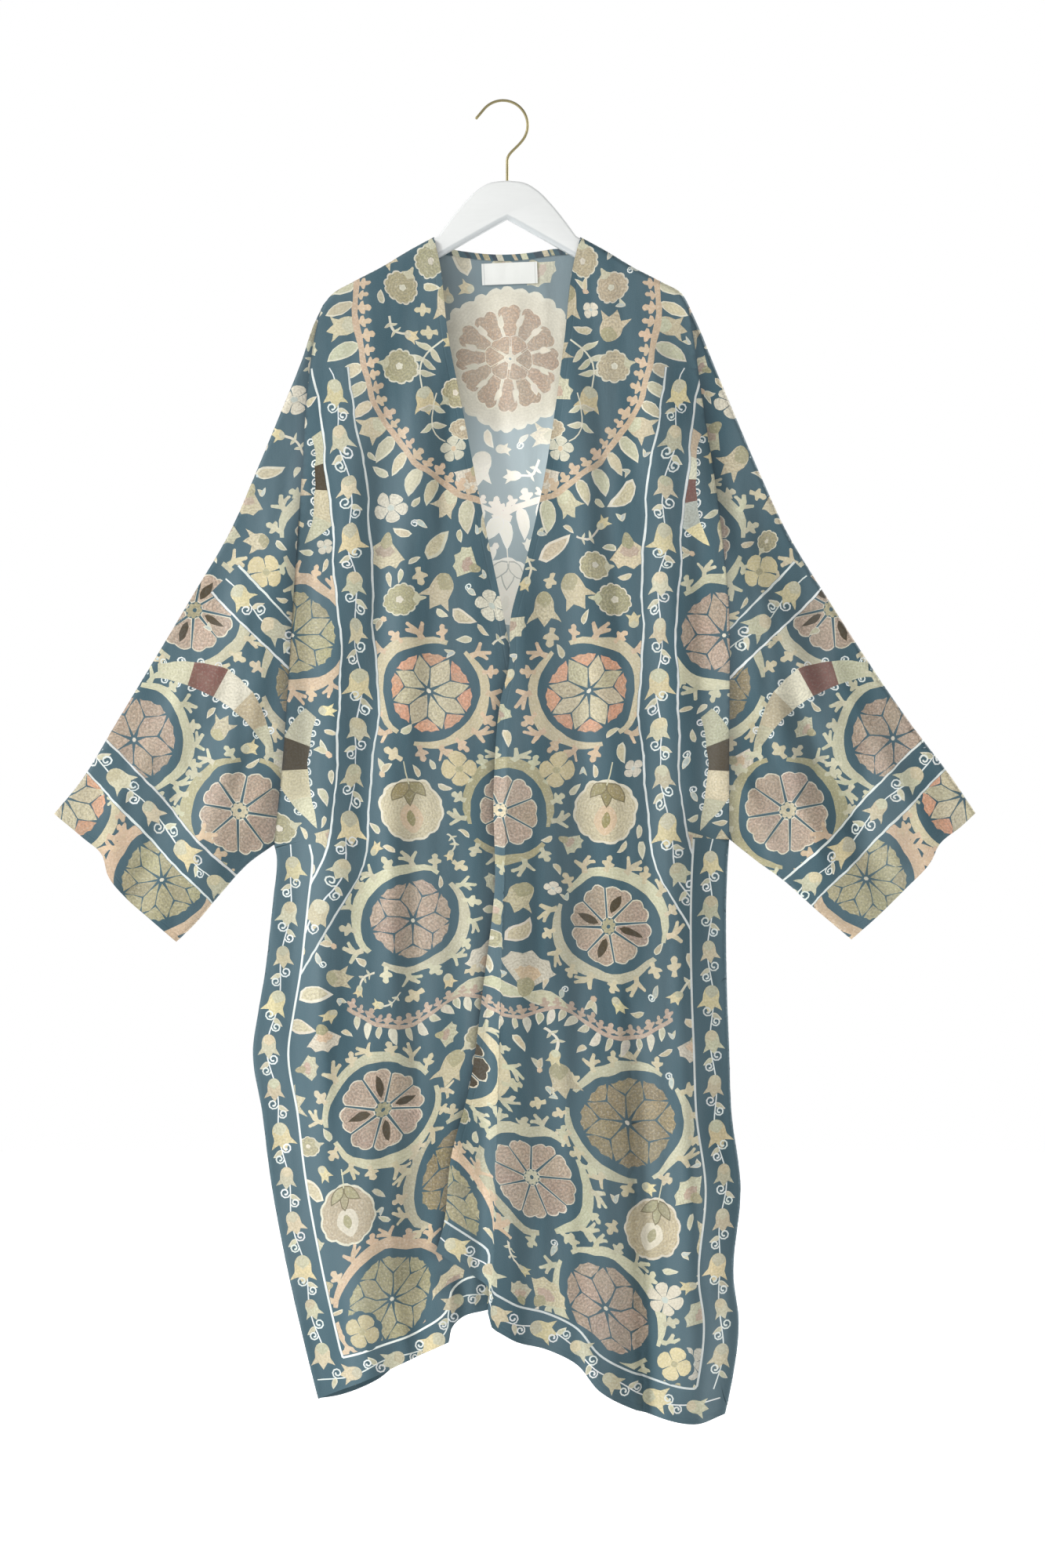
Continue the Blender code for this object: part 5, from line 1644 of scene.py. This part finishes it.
def build_sleeves(look):
    """Both sleeves, each from a front and a back sheet."""
    colours = print_colours(look)
    material = cloth_material(colours)
    half = look.thickness / 2
    for piece in ("sleeve_left", "sleeve_right"):
        sheets = []
        for facing, up in ((-1, UV_MARGIN), (1, UV_MARGIN + UV_ROW)):
            sheets.append(one_sheet(piece, facing, sleeve_print(piece, facing), colours, (half, -half),
                                    (UV_MARGIN, up, UV_HALF / SLEEVE_SPAN, UV_ROW)))
        obj = build_mesh(piece + "_cloth", sheets, material)
        dress(obj, piece)


# Hanger, millimetres
ARM_SPAN, ARM_TIP = 192.0, 12.0
APEX_DROP, UNDERSIDE_SLOPE = 130.6, 0.5632
BOARD_BELOW_CLOTH = 2.17
EASED_DEPTH, EASED_WIDTH, EASED_STEPS = 2.6, 2.6, 6
# Width of the underside's eased edge, and the share of painted shade on the other eased edges
UNDERSIDE_WIDTH, UNDERSIDE_SHARE = 5.8, 0.2
CROWN_RADIUS = 27.5
HOOK_TIP, HOOK_END, HOOK_STRAIGHT = radians(140.0), radians(-38.0), 13.5
HOOK_BEND, STEM_TOP, STEM_BEND = 14.0, 66.0, 9.0
WIRE_SIDES = 14


def board_outline():
    """The hanger's outline as complex points, from the top middle clockwise."""
    arm = smooth_curve([(out, drop + BOARD_BELOW_CLOTH) for out, drop in ARM_LINE], 30, 0.04)
    arm = arm[arm[:, 0] < ARM_SPAN - ARM_TIP]
    low_out = ARM_SPAN - ARM_TIP / 2
    low = np.array([low_out, APEX_DROP + UNDERSIDE_SLOPE * low_out])
    beyond = np.array([ARM_SPAN + ARM_TIP / 3, (arm[-1][1] + low[1]) / 2])
    turn = np.linspace(0, 1, 9)[1:, None]
    tip = (1 - turn) ** 2 * arm[-1] + 2 * turn * (1 - turn) * beyond + turn**2 * low
    under = np.linspace(low, [0.0, APEX_DROP], 30)[1:]
    half = as_complex(np.vstack([smooth_curve(HUMP, 24), arm, tip, under]))
    return np.concatenate([half, -np.conj(half[-2:0:-1])])


def ring_faces(count, rings):
    """Faces of a closed tube: both ends, and the walls between its rings of so many points."""
    last = count * (rings - 1)
    faces = [tuple(range(count)), tuple(reversed(range(last, last + count)))]
    for start in range(0, last, count):
        for i in range(count):
            a, b = start + i, start + (i + 1) % count
            faces.append((a, a + count, b + count, b))
    return faces


def board_mesh(thickness):
    """Board in rings from face to face, with rounded edges; 'edge' holds the painted shade on the eased
    edges, most on the underside.
    """
    outline = board_outline()
    chord = np.roll(outline, -1) - np.roll(outline, 1)
    inward = 1j * chord / np.abs(chord)
    # The underside gets a wider eased edge and the most painted shade
    below = ease((-inward.imag - 0.2) / 0.5) * ease((ARM_SPAN - np.abs(outline.real) - 20) / 40)
    inward = inward * (EASED_WIDTH + (UNDERSIDE_WIDTH - EASED_WIDTH) * below)
    underside_shade = UNDERSIDE_SHARE + (1 - UNDERSIDE_SHARE) * below
    turns = np.linspace(pi / 2, 0, EASED_STEPS)
    flat_half = thickness / 2 - EASED_DEPTH
    levels = [(-flat_half - EASED_DEPTH * sin(a), 1 - cos(a), float(a < turns[0])) for a in turns]
    levels += [(-depth, inset, edge) for depth, inset, edge in reversed(levels)]
    vertices, edges = [], []
    for depth, inset, edge in levels:
        for z, dark in zip(outline + inward * inset, underside_shade):
            vertices.append(((z.real + HANGER_CENTRE) * MM, depth * MM, -z.imag * MM))
            edges.append(edge * dark)
    return vertices, ring_faces(len(outline), len(levels)), edges


def hook_path():
    """Middle line of the wire, from its tip over the crown and down into the board."""
    angles = np.linspace(HOOK_TIP, HOOK_END, 60)
    crown = CROWN_RADIUS * np.exp(1j * angles) + 1j * (1.5 - CROWN_RADIUS)
    stem = HANGER_CENTRE - 1j * STEM_TOP
    handles = (crown[-1], crown[-1] - HOOK_BEND * 1j * np.exp(1j * HOOK_END), stem + 1j * STEM_BEND, stem)
    u = np.linspace(0, 1, 25)[1:]
    weights = ((1 - u) ** 3, 3 * u * (1 - u) ** 2, 3 * u * u * (1 - u), u**3)
    bend = sum(w * h for w, h in zip(weights, handles))
    end = crown[0] + 1j * np.exp(1j * HOOK_TIP) * HOOK_STRAIGHT * np.linspace(1, 0, 8)[:-1]
    return np.concatenate([end, crown, bend, [HANGER_CENTRE - 1j * (HUMP[0][1] - 0.1)]])


def wire_mesh(width):
    """Round wire along the hook, closed at both ends, with its tip rounded."""
    path = hook_path()
    start = path[0] + (path[0] - path[1]) / abs(path[0] - path[1]) * np.array([0.55, 0.35])
    path = np.concatenate([start, path])
    radii = np.full(len(path), width / 2)
    radii[:2] *= (0.45, 0.82)
    vertices = []
    for point, side, radius in zip(path, sideways(path), radii):
        for a in np.arange(WIRE_SIDES) * tau / WIRE_SIDES:
            z = point + side * radius * cos(a)
            vertices.append((z.real * MM, radius * sin(a) * MM, z.imag * MM))
    return vertices, ring_faces(WIRE_SIDES, len(path))


def smooth_object(name, vertices, faces, material):
    """Object from plain faces, facing out, smooth but for its sharp edges."""
    mesh = bpy.data.meshes.new(name)
    mesh.from_pydata(vertices, [], faces)
    shell = bmesh.new()
    shell.from_mesh(mesh)
    bmesh.ops.recalc_face_normals(shell, faces=shell.faces)
    shell.to_mesh(mesh)
    shell.free()
    mesh.shade_smooth()
    mesh.set_sharp_from_angle(angle=SHARP_ANGLE)
    mesh.materials.append(material)
    return added(name, mesh)


def build_hanger(look):
    """Painted board and brass hook."""
    vertices, faces, edges = board_mesh(look.thickness / MM)
    board = smooth_object("hanger_board", vertices, faces, wood_material(look.paint))
    # 'edge' carries the painted shade on the eased edges
    board.data.attributes.new("edge", "FLOAT", "POINT").data.foreach_set("value", edges)
    dress(board, "hanger_wood")
    hook = smooth_object("hook_wire", *wire_mesh(look.wire_width / MM), wire_material(look.wire))
    dress(hook, "hanger_hook")


# Studio, metres
CAMERA_ACROSS, CAMERA_HEIGHT = 0.0218, -0.757
FLOOR_HEIGHT, FLOOR_HALF = -1.75, 6.0
FLOOR_GLOW = 0.66
CEILING, CEILING_FROM, CEILING_TO = 0.15, 0.22, 0.4
KEY_AT, REAR_AT, OVERHEAD_AT = (-5.6, -2.6, 1.5), (5.6, 2.6, 1.5), (0, 0, 3.2)
WHITE = (1, 1, 1, 1)


def soft_light(name, place_at, size, power):
    """Round light turned to the middle of the picture."""
    light = bpy.data.lights.new(name, "AREA")
    light.shape, light.size, light.energy = "DISK", size, power
    obj = added(name, light)
    obj.location = place_at
    way = Vector((0, 0, CAMERA_HEIGHT)) - Vector(place_at)
    obj.rotation_euler = way.to_track_quat("-Z", "Y").to_euler()


def build_studio(look):
    """Floor, soft light and the camera."""
    scene = bpy.context.scene
    scene.view_settings.view_transform = "Standard"
    world = bpy.data.worlds.new("studio")
    world.use_nodes = True
    background = world.node_tree.nodes["Background"]
    way = Wire(world.node_tree).made("ShaderNodeTexCoord", {}, "Generated")
    feed(background, "Strength", way.axis(2).between(CEILING_FROM, CEILING_TO) * (CEILING - 1) + 1)
    background.inputs["Color"].default_value = WHITE
    scene.world = world
    material = new_material("floor", 0.9, Specular_IOR_Level=0.1, Base_Color=(*look.floor, 1),
                            Emission_Color=WHITE, Emission_Strength=FLOOR_GLOW)[0]
    mesh = bpy.data.meshes.new("floor")
    corners = [(x * FLOOR_HALF, y * FLOOR_HALF, 0) for x, y in ((-1, -1), (1, -1), (1, 1), (-1, 1))]
    mesh.from_pydata(corners, [], [(0, 1, 2, 3)])
    mesh.materials.append(material)
    floor = added("floor", mesh)
    floor.location = (0, 0, FLOOR_HEIGHT)
    soft_light("key", KEY_AT, 2.0, look.key)
    soft_light("rear", REAR_AT, 2.0, look.key)
    soft_light("overhead", OVERHEAD_AT, 5.0, look.overhead)
    camera = bpy.data.cameras.new("camera")
    camera.sensor_fit = "VERTICAL"
    camera.angle_y = 2 * np.arctan(look.view_height / 2 / look.distance)
    scene.camera = added("camera", camera)
    scene.camera.location = (CAMERA_ACROSS, -look.distance, CAMERA_HEIGHT)
    scene.camera.rotation_euler = (pi / 2, 0, 0)


class KIMONO_OT_neck(bpy.types.Operator):
    """Build the strip and the blank label inside the back neckline"""
    bl_idname = "kimono.neck"
    bl_label = "Neck strip and label"

    def execute(self, context):
        build_neck(context.scene.kimono_cloth)
        return {"FINISHED"}


class KIMONO_OT_panels(bpy.types.Operator):
    """Build the back and both fronts of the kimono, after the neck strip and label"""
    bl_idname = "kimono.panels"
    bl_label = "Back and fronts"

    def execute(self, context):
        build_panels(context.scene.kimono_cloth)
        return {"FINISHED"}


class KIMONO_OT_sleeves(bpy.types.Operator):
    """Build both sleeves of the kimono"""
    bl_idname = "kimono.sleeves"
    bl_label = "Sleeves"

    def execute(self, context):
        build_sleeves(context.scene.kimono_cloth)
        return {"FINISHED"}


class KIMONO_OT_hanger(bpy.types.Operator):
    """Build the painted board and the brass hook of the hanger"""
    bl_idname = "kimono.hanger"
    bl_label = "Hanger"

    def execute(self, context):
        build_hanger(context.scene.kimono_hanger)
        return {"FINISHED"}


class KIMONO_OT_studio(bpy.types.Operator):
    """Add the floor, the soft light and the camera"""
    bl_idname = "kimono.studio"
    bl_label = "Studio"

    def execute(self, context):
        build_studio(context.scene.kimono_studio)
        return {"FINISHED"}


OPERATORS = (KIMONO_OT_hanger, KIMONO_OT_neck, KIMONO_OT_panels, KIMONO_OT_sleeves, KIMONO_OT_studio)
LOOKS = {"kimono_cloth": ClothLook, "kimono_hanger": HangerLook, "kimono_studio": StudioLook}


class KIMONO_PT_sidebar(bpy.types.Panel):
    """Lists the pieces of the kimono and what can be changed"""
    bl_label = "Kimono"
    bl_idname = "KIMONO_PT_sidebar"
    bl_space_type = "VIEW_3D"
    bl_region_type = "UI"
    bl_category = "Kimono"

    def draw(self, context):
        for name, group in LOOKS.items():
            for key in group.__annotations__:
                self.layout.prop(getattr(context.scene, name), key)
        for operator in OPERATORS:
            self.layout.operator(operator.bl_idname)


def register():
    for group in (*LOOKS.values(), *OPERATORS, KIMONO_PT_sidebar):
        bpy.utils.register_class(group)
    for name, group in LOOKS.items():
        setattr(bpy.types.Scene, name, bpy.props.PointerProperty(type=group))


def unregister():
    for name in LOOKS:
        delattr(bpy.types.Scene, name)
    for group in (KIMONO_PT_sidebar, *OPERATORS, *LOOKS.values()):
        bpy.utils.unregister_class(group)


def main():
    """Builds everything."""
    register()
    for operator in OPERATORS:
        group, name = operator.bl_idname.split(".")
        getattr(getattr(bpy.ops, group), name)()


if __name__ == "__main__":
    main()
